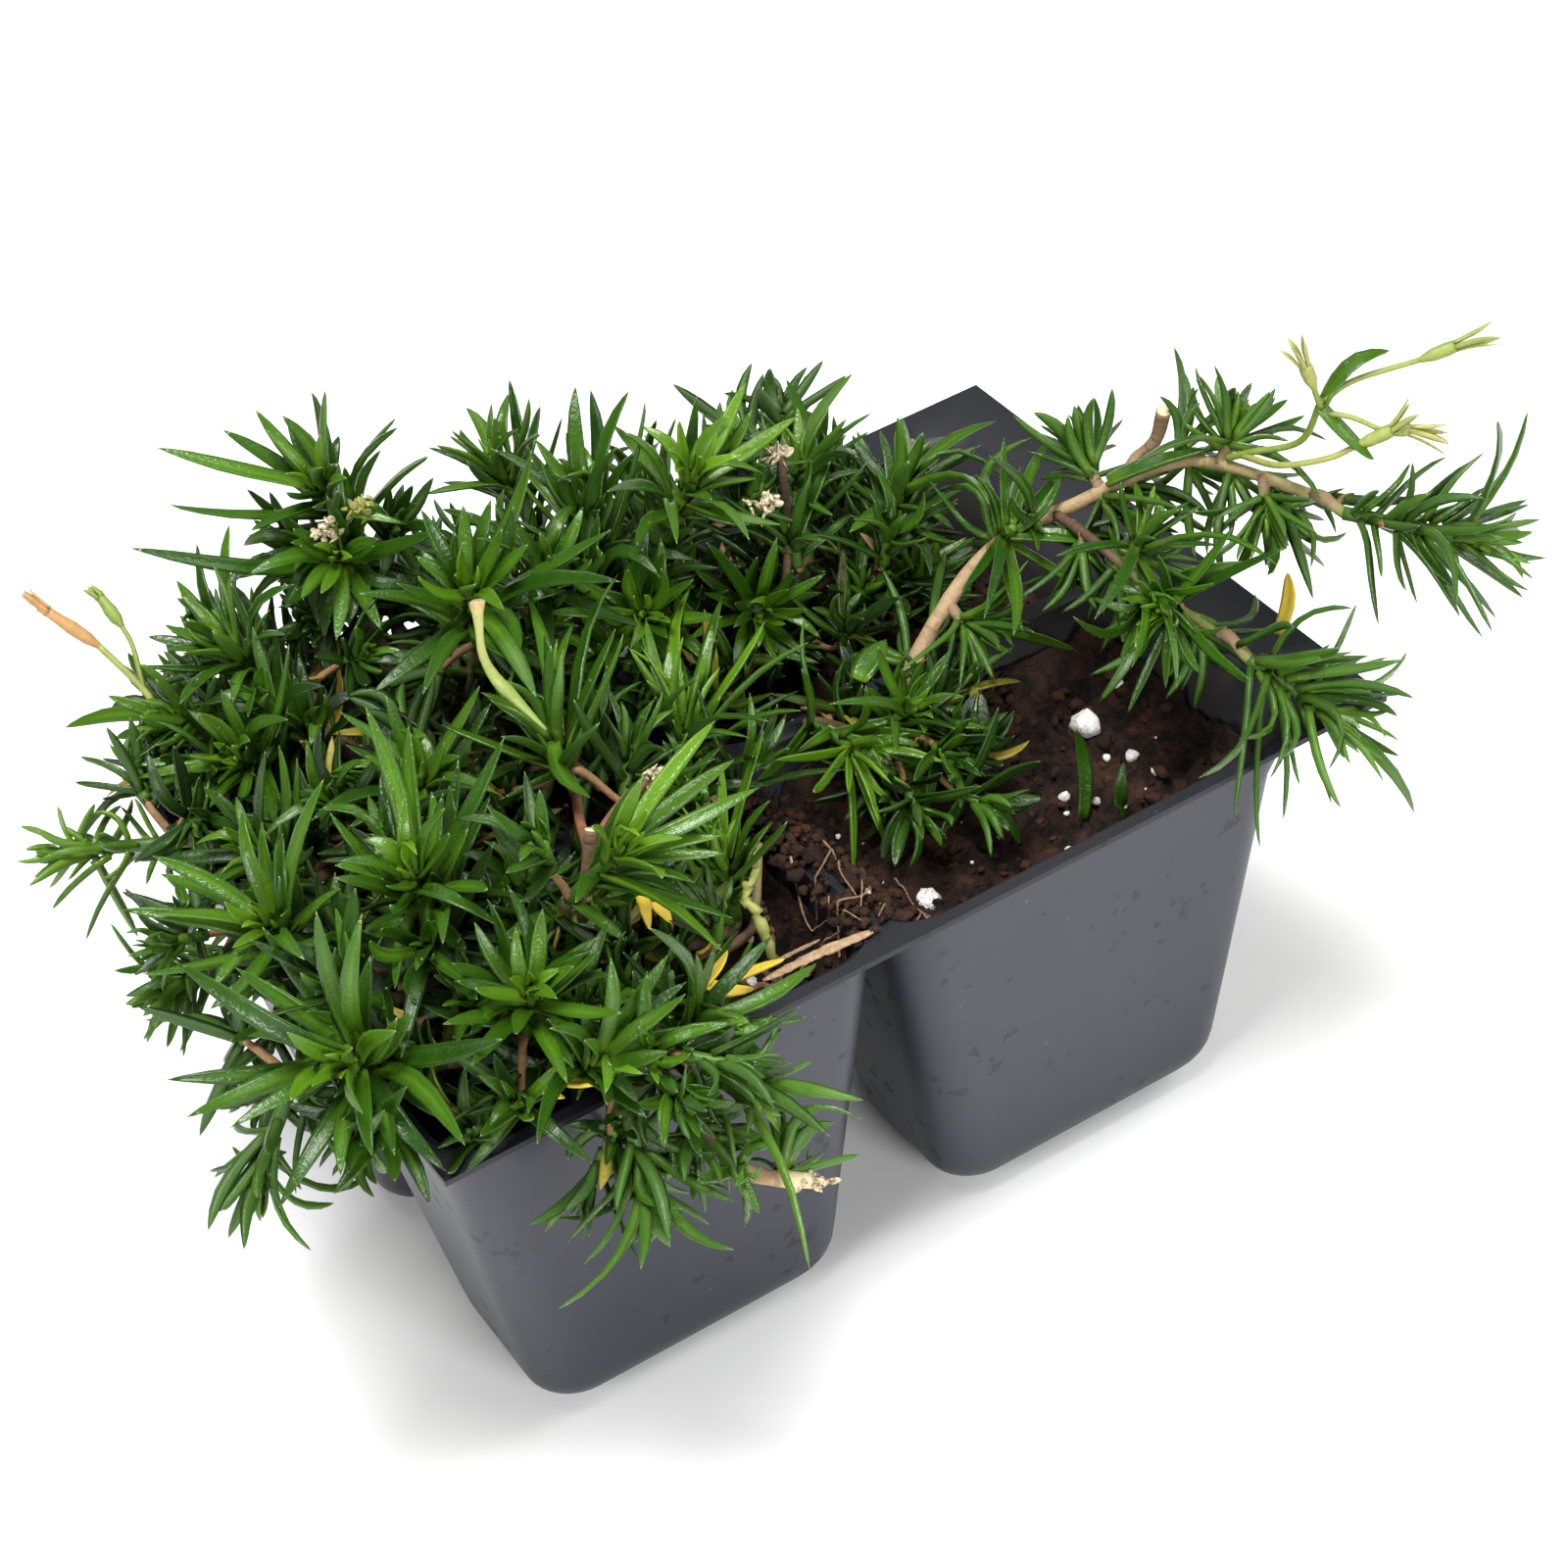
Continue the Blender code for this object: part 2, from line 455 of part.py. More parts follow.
class Leaf:
    """One leaf: a bowed midline from its root to its tip, and the way its upper face looks."""

    def __init__(self, root, tip, axis, width):
        self.root = root
        self.reach = tip - root
        self.length = float(np.linalg.norm(self.reach))
        along = self.reach / self.length
        lift = across(0.65 * axis + 0.35 * UP + 0.02 * EYE_RIGHT, along)
        self.bow = lift * self.length * 0.085
        self.axis = axis
        self.width = width

    def middle(self, t):
        """Points on the midline: the straight reach plus a parabola of the bow's height."""
        t = np.asarray(t, float)[:, None]
        return self.root + self.reach * t + self.bow * 4 * t * (1 - t)

    def frames(self, t):
        """The sideways and upward directions of the blade at each t."""
        run = self.reach + self.bow * 4 * (1 - 2 * np.asarray(t, float)[:, None])
        run = run / np.linalg.norm(run, axis=1)[:, None]
        up = self.axis + 0.15 * UP + 0.03 * EYE_RIGHT - np.zeros_like(run)
        up = up - np.sum(up * run, axis=1)[:, None] * run
        up = up / np.linalg.norm(up, axis=1)[:, None]
        return np.cross(run, up), up

    def half_width(self, t):
        """A lance shape: narrow at the root, widest before the middle, drawn out to the tip."""
        t = np.asarray(t, float)
        return self.width / 2 * (0.63 + 1.5 * t) * (1 - t ** 1.8)

    def rings(self, stations, grow=0.0):
        """Four corners of the blade at each station: a wide flat top and a narrow keel below."""
        t = np.asarray(stations, float)
        side, up = self.frames(t)
        centre = self.middle(t)
        half = (self.half_width(t) + grow)[:, None]
        top = centre + up * grow
        keel = centre - up * (LEAF_THICKNESS * (1 - 0.25 * t[:, None]) + grow)
        low = KEEL_SHARE * half
        corners = [top + side * half, top - side * half, keel - side * low, keel + side * low]
        return np.stack(corners, axis=1)

    def blade(self, grow=0.0, start=0.0):
        """The leaf from start on as a closed four-sided blade with one point at its tip."""
        skin = Skin()
        rings = [skin.ring(ring) for ring in self.rings((start,) + self.stations(), grow)]
        for a, b in zip(rings, rings[1:]):
            skin.band(a, b)
        skin.cap(rings[0])
        end = self.middle([1.0])[0] + self.reach / self.length * grow
        skin.fan(rings[-1], skin.ring([end])[0])
        return np.array(skin.points), skin.faces

    def stations(self):
        """One ring on a short leaf and two on a long one, between its root and its tip."""
        return (0.3, 0.68) if self.length > LONG_LEAF else (0.42,)


def split(faces):
    """The faces left, those of four corners as two triangles."""
    out = []
    for face in faces:
        if face and len(face) == 4:
            out += [face[:3], [face[0], face[2], face[3]]]
        elif face:
            out.append(face)
    return out


def draw_out(skin, upper, lower, leaf):
    """Draws a leaf out of the hole between two upper and two lower corners; returns those in order."""
    side = leaf.frames([0.15])[0][0]
    upper = sorted(upper, key=lambda k: -float(np.dot(skin.points[k], side)))
    lower = sorted(lower, key=lambda k: float(np.dot(skin.points[k], side)))
    rings = [upper + lower] + [skin.ring(ring) for ring in leaf.rings(leaf.stations())]
    for a, b in zip(rings, rings[1:]):
        skin.band(a, b)
    skin.fan(rings[-1], skin.ring([leaf.middle([1.0])[0]])[0])
    return rings[0]


def tube(route, radii, sides, end_way=None):
    """A round stem along a route: rings square to it and flat ends."""
    route = np.asarray(route, float)
    run = np.gradient(route, axis=0)
    if end_way is not None:
        run[-1] = end_way
    run = run / np.linalg.norm(run, axis=1)[:, None]
    side = across(np.array([0.31, 0.87, 0.38]), run[0])
    skin = Skin()
    rings = []
    for p, d, r in zip(route, run, radii):
        side = across(side, d)
        other = np.cross(d, side)
        a = np.arange(sides) * 2 * math.pi / sides
        rings.append(skin.ring(p + r * (np.cos(a)[:, None] * side + np.sin(a)[:, None] * other)))
    for a, b in zip(rings, rings[1:]):
        skin.band(a, b)
    skin.cap(rings[0])
    skin.cap(rings[-1])
    return np.array(skin.points), skin.faces


def smooth_route(points, count):
    """A smooth curve through the points, by cubic pieces whose slopes follow their neighbours."""
    p = np.asarray(points, float)
    p = np.concatenate([[2 * p[0] - p[1]], p, [2 * p[-1] - p[-2]]])
    out = []
    for u in np.linspace(0, len(p) - 3, count):
        k = min(int(u), len(p) - 4)
        t = u - k
        a, b, c, d = p[k:k + 4]
        out.append(0.5 * (2 * b + (c - a) * t + (2 * a - 5 * b + 4 * c - d) * t ** 2
                          + (3 * b - a - 3 * c + d) * t ** 3))
    return np.array(out)


def branch_route(start, end, way, count):
    """A woody branch: out of the crown, over what lies between, and in line with its shoot."""
    start, end = np.asarray(start, float), np.asarray(end, float)
    span = end - start
    far = np.linalg.norm(span)
    first = start + np.array([span[0], span[1], 0]) * 0.35 + UP * (0.45 * abs(span[2]) + 0.1 * far)
    second = end - way * far * 0.3
    t = np.linspace(0, 1, count)[:, None]
    return (start * (1 - t) ** 3 + first * 3 * t * (1 - t) ** 2
            + second * 3 * t ** 2 * (1 - t) + end * t ** 3)


class Growth:
    """What has grown so far, for keeping each new leaf clear of the rest."""

    def __init__(self):
        self.pieces = []

    def add(self, owner, points, faces):
        """Notes a piece's surface, its owner and its box."""
        points = np.asarray(points)
        tree = BVHTree.FromPolygons(points.tolist(), faces)
        self.pieces.append((owner, points.min(axis=0), points.max(axis=0), tree))

    def meets(self, owner, points, faces):
        """Whether this surface cuts any noted piece of another owner."""
        low, high = points.min(axis=0), points.max(axis=0)
        tree = BVHTree.FromPolygons(points.tolist(), faces)
        return any(tree.overlap(other) for whose, a, b, other in self.pieces
                   if whose != owner and not (np.any(a > high) or np.any(b < low)))


def in_pack_or_soil(points):
    """Whether any point is in the rim, a wall or the soil, or too near them."""
    x, y, z = points.T
    near = (z < PACK_Z + 0.7) & (abs(x) < PACK_X / 2 + 0.6) & (abs(y) < PACK_Y / 2 + 0.6)
    if not near.any():
        return False
    x, y, z = x[near], y[near], z[near]
    inset = np.array([wall_inset(min(height, PACK_Z)) for height in z]) + SHEET + 0.7
    free = np.zeros(len(x), bool)
    for cx in CELL_LEFT:
        for cy in CELL_FRONT:
            dx = abs(x - cx - CELL_X / 2) - CELL_X / 2 + inset + CELL_CORNER
            dy = abs(y - cy - CELL_Y / 2) - CELL_Y / 2 + inset + CELL_CORNER
            corner = np.hypot(np.maximum(dx, 0), np.maximum(dy, 0)) + np.minimum(np.maximum(dx, dy), 0)
            free |= corner < CELL_CORNER
    return bool(np.any(~free | (z < soil_height(x, y) + 0.8)))


def seen_direction(hour, axis, opening):
    """The direction that shows at this clock hour and opens by this angle from the shoot's axis."""
    a = math.radians(30.0 * hour)
    flat = math.cos(a) * EYE_UP + math.sin(a) * EYE_RIGHT
    p, q = np.dot(flat, axis), np.dot(TO_EYE, axis)
    middle = math.atan2(q, p)
    swing = math.acos(max(-1.0, min(1.0, math.cos(math.radians(opening)) / math.hypot(p, q))))
    choices = [w for w in (middle - swing, middle + swing) if abs(w) < math.radians(75)]
    tilt = min(choices, key=abs) if choices else math.copysign(math.radians(50), middle)
    return math.cos(tilt) * flat + math.sin(tilt) * TO_EYE, math.cos(tilt)


class Shoot:
    """A leafy shoot: a green stem whose side faces are the sockets that its leaves grow from."""

    def __init__(self, name):
        plant, start, tip, way, stem, size, self.opening, self.hours = SHOOTS[name]
        self.name = name
        self.plant = plant
        self.start = start
        self.axis = heading(*way)
        self.tip = np.array(tip, float)
        self.stem = stem
        self.foot = self.tip - self.axis * stem
        self.size, self.width = size
        self.wanted = LEAVES_PER_SHOOT if self.hours.count(":") > 3 else LEAVES_IF_HIDDEN
        self.leaves = []
        self.skin = Skin()
        self.sockets = []
        self.make_stem()

    def make_stem(self):
        """Rings down the stem, closest in its leafy part, and a socket for each face between them."""
        rows = 3 if self.stem < 9 else 6
        pitch = (self.stem - 0.8) / rows
        if self.name not in TRAILING:
            pitch = min(1.6, pitch)
        backs = [0.6 + pitch * k for k in range(rows + 1)]
        if self.stem - backs[-1] > 1.0:
            backs.append(self.stem)
        backs[-1] = self.stem
        side = across(np.array([0.31, 0.87, 0.38]), self.axis)
        other = np.cross(self.axis, side)
        a = np.arange(STEM_SIDES) * 2 * math.pi / STEM_SIDES
        out = np.cos(a)[:, None] * side + np.sin(a)[:, None] * other
        thick = [min(0.75 + 0.04 * back, 0.95) for back in backs]
        rings = [self.skin.ring(self.tip - self.axis * back + out * r) for back, r in zip(backs, thick)]
        self.skin.fan(rings[0], self.skin.ring([self.tip + self.axis * 0.5])[0])
        for row in range(len(rings) - 1):
            upper, lower = rings[row], rings[row + 1]
            for k in range(STEM_SIDES):
                n = (k + 1) % STEM_SIDES
                if row < rows:
                    place = (backs[row] + backs[row + 1]) / 2
                    self.sockets.append((len(self.skin.faces), unit(out[k] + out[n]), place))
                self.skin.faces.append([upper[k], upper[n], lower[n], lower[k]])
        self.skin.cap(rings[-1])

    def socket_centre(self, face):
        """The middle of a stem face."""
        return np.mean([self.skin.points[k] for k in self.skin.faces[face]], axis=0)

    def best_sockets(self, way, back):
        """The free sockets that face a leaf's way best, near its wanted place down the stem."""
        flat = across(way + 1e-6 * EYE_UP, self.axis)
        cost = [(math.acos(max(-1.0, min(1.0, float(flat @ out)))) + 0.22 * abs(place - back), face)
                for face, out, place in self.sockets]
        return [face for c, face in sorted(cost)[:3] if c < 1.5]

    def crosses_itself(self, leaf, face):
        """Whether the leaf would cut itself, or its shoot anywhere but at the corners it grows from."""
        corners = self.skin.faces[face]
        skin = Skin()
        skin.ring([self.skin.points[k] for k in corners])
        draw_out(skin, [0, 1], [2, 3], leaf)
        blade = BVHTree.FromPolygons(skin.points, skin.faces)
        if any(not set(skin.faces[a]) & set(skin.faces[b]) for a, b in blade.overlap(blade)):
            return True
        own = split(f for k, f in enumerate(self.skin.faces) if k != face)
        tree = BVHTree.FromPolygons(self.skin.points, own)
        for a, b in blade.overlap(tree):
            if not {corners[k] for k in skin.faces[a] if k < 4} & set(own[b]):
                return True
        points, faces = leaf.blade(0.12, 0.25)
        return bool(BVHTree.FromPolygons(points.tolist(), faces).overlap(tree))

    def attach(self, leaf, face):
        """Grows the leaf out of its socket."""
        corners = self.skin.faces[face]
        self.skin.faces[face] = None
        draw_out(self.skin, corners[:2], corners[2:], leaf)
        self.sockets = [socket for socket in self.sockets if socket[0] != face]
        self.leaves.append(leaf)

    def seen_leaves(self):
        """The ends of the leaves listed by clock hour, with their widths and places down the stem."""
        heart = self.tip - self.axis * HEARTS.get(self.name, 1.5)
        entries = [tuple(map(float, entry.split(":"))) for entry in self.hours.split()]
        pitch = min(0.85, (self.stem - 1.5) / len(entries))
        for k, (hour, seen) in enumerate(entries):
            way, share = seen_direction(hour, self.axis, self.opening)
            length = min(seen / max(share, 0.45), LONGEST_LEAF)
            breadth = self.width * (0.82 + 0.18 * min(length / self.size, 1.2))
            yield 1.2 + pitch * k, heart + way * length, breadth

    def filling_leaf(self, number, draw):
        """A leaf of an opposite pair: each pair a quarter turn on, opening more the lower it stands."""
        pair = number // 2
        turn = math.pi * (number % 2) + math.pi / 2 * pair + draw.uniform(-0.5, 0.5) + self.opening
        side = across(np.array([0.31, 0.87, 0.38]), self.axis)
        out = math.cos(turn) * side + math.sin(turn) * np.cross(self.axis, side)
        open_by = math.radians(min(self.opening - 22 + 9 * pair + draw.uniform(-8, 8), 82))
        way = math.cos(open_by) * self.axis + math.sin(open_by) * out
        length = self.size * min(0.62 + 0.1 * pair, 0.95) * draw.uniform(0.85, 1.1)
        back = 1.2 + min(1.5 * pair, self.stem - 1.6)
        return back, self.tip - self.axis * back + way * length, self.width * draw.uniform(0.8, 1.0)


def leaf_is_clear(growth, shoot, leaf):
    """Whether a leaf stays clear of the pack, the soil and everything else that has grown."""
    fine = np.linspace(0.12, 1.0, 9)
    side, up = leaf.frames(fine)
    centre = leaf.middle(fine)
    half = leaf.half_width(fine)[:, None]
    if in_pack_or_soil(np.concatenate([centre + side * half, centre - side * half, centre - up])):
        return False
    return not growth.meets(shoot.name, *leaf.blade(CLEARANCE))


def place_leaf(growth, shoot, back, end, width, draw):
    """Grows a leaf where it is clear, bending or shortening it a little if need be; else none."""
    start = shoot.tip - shoot.axis * back
    reach = np.linalg.norm(end - start)
    for attempt in range(8):
        aim = start + (end - start) * (1 - 0.02 * attempt) + draw.normal(size=3) * reach * 0.045 * attempt
        for face in shoot.best_sockets(aim - start, back):
            leaf = Leaf(shoot.socket_centre(face), aim, shoot.axis, width)
            if leaf_is_clear(growth, shoot, leaf) and not shoot.crosses_itself(leaf, face):
                shoot.attach(leaf, face)
                growth.add(shoot.name, *leaf.blade())
                return True
    return False


def woody_stems(shoots):
    """Every woody stem by plant: its route, its radii, its number of sides and its end's way."""
    stems = {plant: [] for plant in CROWNS}
    for plant, (x, y) in CROWNS.items():
        trunk = [(x, y, z) for z in (TRUNK_FOOT, SOIL_TOP, TRUNK_HEAD)]
        stems[plant].append((trunk, [TRUNK_RADIUS * 0.8, TRUNK_RADIUS, TRUNK_RADIUS * 0.7], 6, UP))
    for plant, thick, thin, points in ROUTES.values():
        count = len(points) + 2
        radii = np.linspace(thick, thin, count)
        stems[plant].append((smooth_route(points, count), radii, STEM_SIDES, None))
    for shoot in shoots:
        end = shoot.foot - shoot.axis * FIT_GAP
        x, y = CROWNS[shoot.plant]
        start = shoot.start or (x, y, TRUNK_HEAD - 2.0)
        route = branch_route(start, end, shoot.axis, 3 if shoot.start else 4)
        thick = 0.8 if shoot.start else 1.2
        stems[shoot.plant].append((route, np.linspace(thick, 0.85, len(route)), 4, shoot.axis))
    return stems


def calyx(neck, mouth, tips):
    """A calyx: a cup that swells and closes again, its last band drawn out to a tooth on each side."""
    along = unit(mouth - neck)
    side = across(EYE_UP, along)
    a = 2 * math.pi * np.arange(CALYX_TEETH) / CALYX_TEETH
    out = np.cos(a)[:, None] * side + np.sin(a)[:, None] * np.cross(along, side)
    skin = Skin()
    rings = [skin.ring(neck + (mouth - neck) * share + out * radius) for share, radius in CALYX_RINGS]
    for a, b in zip(rings[:-1], rings[1:-1]):
        skin.band(a, b)
    skin.cap(rings[0])
    skin.cap(rings[-1])
    for k in range(CALYX_TEETH):
        n = (k + 1) % CALYX_TEETH
        upper, lower = [rings[-1][k], rings[-1][n]], [rings[-2][k], rings[-2][n]]
        root = np.mean([skin.points[i] for i in upper + lower], axis=0)
        away = unit(out[k] + out[n])
        draw_out(skin, upper, lower, Leaf(root, tips + away * 2.0, 0.3 * along - away, 0.9))
    return np.array(skin.points), skin.faces


def stalk_pieces(name):
    """The stalks, calyxes and broad leaves of one group of flower stalks."""
    routes, *calyxes = STALKS[name]
    pieces = []
    for radius, points in routes:
        count = len(points)
        pieces.append(tube(smooth_route(points, count), np.linspace(radius, 0.9 * radius, count), 4))
    pieces += [calyx(*points) for points in np.array(calyxes, float)]
    if name == "flower_stalks_right":
        for root, tip in STALK_LEAVES:
            pieces.append(Leaf(np.array(root, float), np.array(tip, float), UP, 3.2).blade())
    return pieces


def grow_plants():
    """Woody stems and green stems first, then the leaves seen from the front, then filling leaves."""
    growth = Growth()
    shoots = [Shoot(name) for name in SHOOTS]
    stems = woody_stems(shoots)
    for plant, parts in stems.items():
        for route, radii, sides, end_way in parts:
            growth.add(plant, *tube(route, np.array(radii) + 0.1, sides, end_way))
    for name in STALKS:
        for points, faces in stalk_pieces(name):
            growth.add(name, points, faces)
    for shoot in shoots:
        growth.add(shoot.name, shoot.skin.points, shoot.skin.faces)
    draw = np.random.default_rng(11)
    for shoot in shoots:
        for back, end, width in shoot.seen_leaves():
            place_leaf(growth, shoot, back, end, width, draw)
    for number in range(2 * LEAVES_PER_SHOOT):
        for shoot in shoots:
            if len(shoot.leaves) < shoot.wanted:
                place_leaf(growth, shoot, *shoot.filling_leaf(number, draw), draw)
    return stems, shoots


def stand_on_origin(made):
    """Moves every solid alike, so that the middle of the whole box's underside is the origin."""
    points = np.concatenate([[vertex.co[:] for vertex in item.data.vertices] for item in made])
    low, high = points.min(axis=0), points.max(axis=0)
    shift = Matrix.Translation((-(low[0] + high[0]) / 2, -(low[1] + high[1]) / 2, -low[2]))
    for item in made:
        item.data.transform(shift)


def main():
    """Builds every solid."""
    for old in list(bpy.data.objects):
        bpy.data.objects.remove(old)
    plastic = material("pack_plastic", (0.035, 0.037, 0.042), 0.42)
    peat = material("soil_peat", (0.05, 0.028, 0.018), 0.95)
    wood = material("stem_wood", (0.38, 0.24, 0.13), 0.75)
    green = material("leaf_green", (0.045, 0.17, 0.02), 0.38)
    made = [make_pack(plastic)]
    for plant, crown in CROWNS.items():
        row = 0 if plant.startswith("front") else 1
        column = 0 if plant.endswith("left") else 1
        made.append(make_soil("soil_" + plant, column, row, crown, peat))
    stems, shoots = grow_plants()
    for plant, parts in stems.items():
        tubes = [solid(plant + "_stem", *tube(*part), wood) for part in parts]
        tubes[0].name = "woody_stems_" + plant
        made.append(fuse(tubes[0], tubes[1:], plant))
    for name in STALKS:
        pieces = [solid(name + "_piece", points, faces, green) for points, faces in stalk_pieces(name)]
        pieces[0].name = name
        made.append(fuse(pieces[0], pieces[1:], name))
    for shoot in shoots:
        made.append(solid("shoot_" + shoot.name, shoot.skin.points, split(shoot.skin.faces), green))
    stand_on_origin(made)
    return made, shoots


if __name__ == "__main__":
    main()
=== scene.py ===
"""The looks of a potted creeping phlox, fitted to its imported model.

The plants stand in a four-cell nursery pack, and the file goes through it as it is put together:
the formed pack, its plugs of peat, the woody stems, the faded flower stalks, the leafy shoots, the
undergrowth and the bits that lie among them, then the floor, the lights and the camera.
"""
import math
import bmesh
import bpy
import numpy as np
from mathutils import Matrix, Vector


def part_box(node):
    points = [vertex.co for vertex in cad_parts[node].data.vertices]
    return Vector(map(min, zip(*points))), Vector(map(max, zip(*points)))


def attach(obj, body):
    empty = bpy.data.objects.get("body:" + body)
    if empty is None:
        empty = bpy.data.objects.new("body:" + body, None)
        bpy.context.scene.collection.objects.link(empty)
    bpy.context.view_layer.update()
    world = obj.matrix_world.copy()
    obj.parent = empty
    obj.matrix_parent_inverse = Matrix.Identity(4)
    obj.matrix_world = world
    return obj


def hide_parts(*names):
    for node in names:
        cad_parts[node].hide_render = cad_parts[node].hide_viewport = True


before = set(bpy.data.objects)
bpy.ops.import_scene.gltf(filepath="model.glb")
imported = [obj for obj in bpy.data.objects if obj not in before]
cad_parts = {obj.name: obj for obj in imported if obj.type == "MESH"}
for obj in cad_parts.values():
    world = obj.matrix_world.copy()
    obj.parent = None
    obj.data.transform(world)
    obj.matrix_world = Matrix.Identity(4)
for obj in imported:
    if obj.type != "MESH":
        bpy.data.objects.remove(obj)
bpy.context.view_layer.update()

MM = 0.001
PACK_X, PACK_Y, PACK_Z = 133.0, 91.0, 59.0
SHEET = 0.8
CELL_X, CELL_Y = 57.6, 40.0
WEB = 2.4
CELL_LEFT = [-PACK_X / 2 + 2.0 + k * (CELL_X + WEB) for k in range(2)]
CELL_FRONT = [-PACK_Y / 2 + 2.4 + k * (CELL_Y + WEB) for k in range(2)]
FRAME_X = [-PACK_X / 2, CELL_LEFT[1] - WEB / 2, PACK_X / 2]
FRAME_Y = [-PACK_Y / 2, CELL_FRONT[1] - WEB / 2, PACK_Y / 2]
CELL_TAPER = 8.3
CELL_CORNER = 6.0
FOOT_ROUNDING, FOOT_HEIGHT = 4.5, 8.0
LIP_RADIUS = 0.7
DRAIN_HOLE = 3.6
SOIL_TOP = 50.0
# How far the right walls lean out at the rim, and from what height up
FLARE, FLARE_FOOT = 5.0, 54.0
# Points on each corner's arc and on each straight side between them
ARC, SIDE = 9, 23

pack_low, pack_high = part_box("cell_pack")
POT = np.array([(pack_low.x + pack_high.x) / 2, (pack_low.y + pack_high.y) / 2, pack_low.z])


class Value:
    """One output of a finish's nodes; sums, differences and products of values add Math nodes."""

    def __init__(self, finish, socket):
        self.finish, self.socket = finish, socket

    def maths(self, operation, a, b):
        return self.finish.node("Math", {"operation": operation}, {0: a, 1: b})

    def __add__(self, other):
        return self.maths("ADD", self, other)

    def __sub__(self, other):
        return self.maths("SUBTRACT", self, other)

    def __rsub__(self, other):
        return self.maths("SUBTRACT", other, self)

    def __mul__(self, other):
        return self.maths("MULTIPLY", self, other)

    def __abs__(self):
        return self.maths("ABSOLUTE", self, 0.0)

    __radd__ = __add__
    __rmul__ = __mul__

    def ramp(self, low, high):
        """0 below low and 1 above high, with a smooth rise between; falls if high is below low."""
        settings = {"interpolation_type": "SMOOTHSTEP"}
        if low < high:
            return self.finish.node("MapRange", settings, {0: self, 1: low, 2: high})
        return 1.0 - self.finish.node("MapRange", settings, {0: self, 1: high, 2: low})


class Finish:
    """A Principled material put together node by node."""

    def __init__(self, name):
        self.material = bpy.data.materials.new(name)
        self.material.use_nodes = True
        self.tree = self.material.node_tree
        self.shader = self.tree.nodes["Principled BSDF"]

    def node(self, kind, settings=None, inputs=None, output=0):
        """Adds a node: its settings first, then the values or links of its sockets."""
        made = self.tree.nodes.new("ShaderNode" + kind)
        for name, value in (settings or {}).items():
            setattr(made, name, value)
        self.feed(made, inputs or {})
        return Value(self, made.outputs[output])

    def feed(self, node, inputs):
        """Sets or links a node's sockets by number or name."""
        for key, value in inputs.items():
            if isinstance(value, Value):
                self.tree.links.new(value.socket, node.inputs[key])
            else:
                node.inputs[key].default_value = value

    def place(self, size, stretch=(1.0, 1.0, 1.0)):
        """Where a point is on the object, counted in steps of size millimetres."""
        scale = [s / (size * MM) for s in stretch]
        return self.node("VectorMath", {"operation": "MULTIPLY"},
                         {0: self.node("TexCoord", output=3), 1: scale})

    def noise(self, size, detail=2.0, roughness=0.5, stretch=(1.0, 1.0, 1.0)):
        """Noise whose blotches are about size millimetres, from 0 to 1."""
        return self.node("TexNoise", None, {"Vector": self.place(size, stretch), "Scale": 1.0,
                                            "Detail": detail, "Roughness": roughness})

    def specks(self, size):
        """Distance from the nearest of scattered points about size millimetres apart."""
        return self.node("TexVoronoi", None, {"Vector": self.place(size), "Scale": 1.0})

    def attribute(self, name, part=None):
        """A value carried by the mesh; part picks X, Y or Z of one with three."""
        if part is None:
            return self.node("Attribute", {"attribute_name": name}, output=2)
        both = self.node("Attribute", {"attribute_name": name}, output=1)
        return self.node("SeparateXYZ", None, {0: both}, part)

    def mix(self, share, a, b):
        """Colour a going over to colour b."""
        a, b = [c if isinstance(c, Value) else (*c, 1.0) for c in (a, b)]
        return self.node("Mix", {"data_type": "RGBA"}, {0: share, 6: a, 7: b}, 2)

    def layers(self, base, *layers):
        """The base colour with layers over it, each a share and a colour."""
        for share, colour in layers:
            base = self.mix(share, base, colour)
        return base

    def bump(self, height, depth, under=None):
        """A normal that follows height, whose full range is depth millimetres."""
        inputs = {"Height": height, "Distance": depth * MM, "Strength": 1.0}
        if under:
            inputs["Normal"] = under
        return self.node("Bump", None, inputs)

    def done(self, **sockets):
        """Feeds the shader and returns the material."""
        names = {"specular_ior_level": "Specular IOR Level"}
        self.feed(self.shader, {names.get(k, k.replace("_", " ").title()): v for k, v in sockets.items()})
        return self.material


def show(name, data):
    """An object of this mesh, lamp or camera, in the scene."""
    made = bpy.data.objects.new(name, data)
    bpy.context.scene.collection.objects.link(made)
    return made


def piece(name, points, faces, finish, slot, nodes=(), **values):
    """A smooth mesh from points in millimetres round the pot, riding on the root.

    Each of values is an attribute, with one number or three for each point.
    """
    mesh = bpy.data.meshes.new(name)
    mesh.from_pydata((np.asarray(points) * MM + POT).tolist(), [], faces)
    mesh.polygons.foreach_set("use_smooth", np.full(len(mesh.polygons), True))
    for key, value in values.items():
        value = np.asarray(value, np.float32)
        kind, slot_name = ("FLOAT", "value") if value.ndim == 1 else ("FLOAT_VECTOR", "vector")
        mesh.attributes.new(key, kind, "POINT").data.foreach_set(slot_name, value.ravel())
    mesh.materials.append(finish)
    made = show(name, mesh)
    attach(made, "root")
    if nodes:
        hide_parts(*nodes)
    return made


def close_up(made):
    """Merges a closed body's doubles and turns its faces out."""
    work = bmesh.new()
    work.from_mesh(made.data)
    bmesh.ops.remove_doubles(work, verts=work.verts, dist=1e-6)
    bmesh.ops.recalc_face_normals(work, faces=work.faces)
    work.to_mesh(made.data)
    work.free()


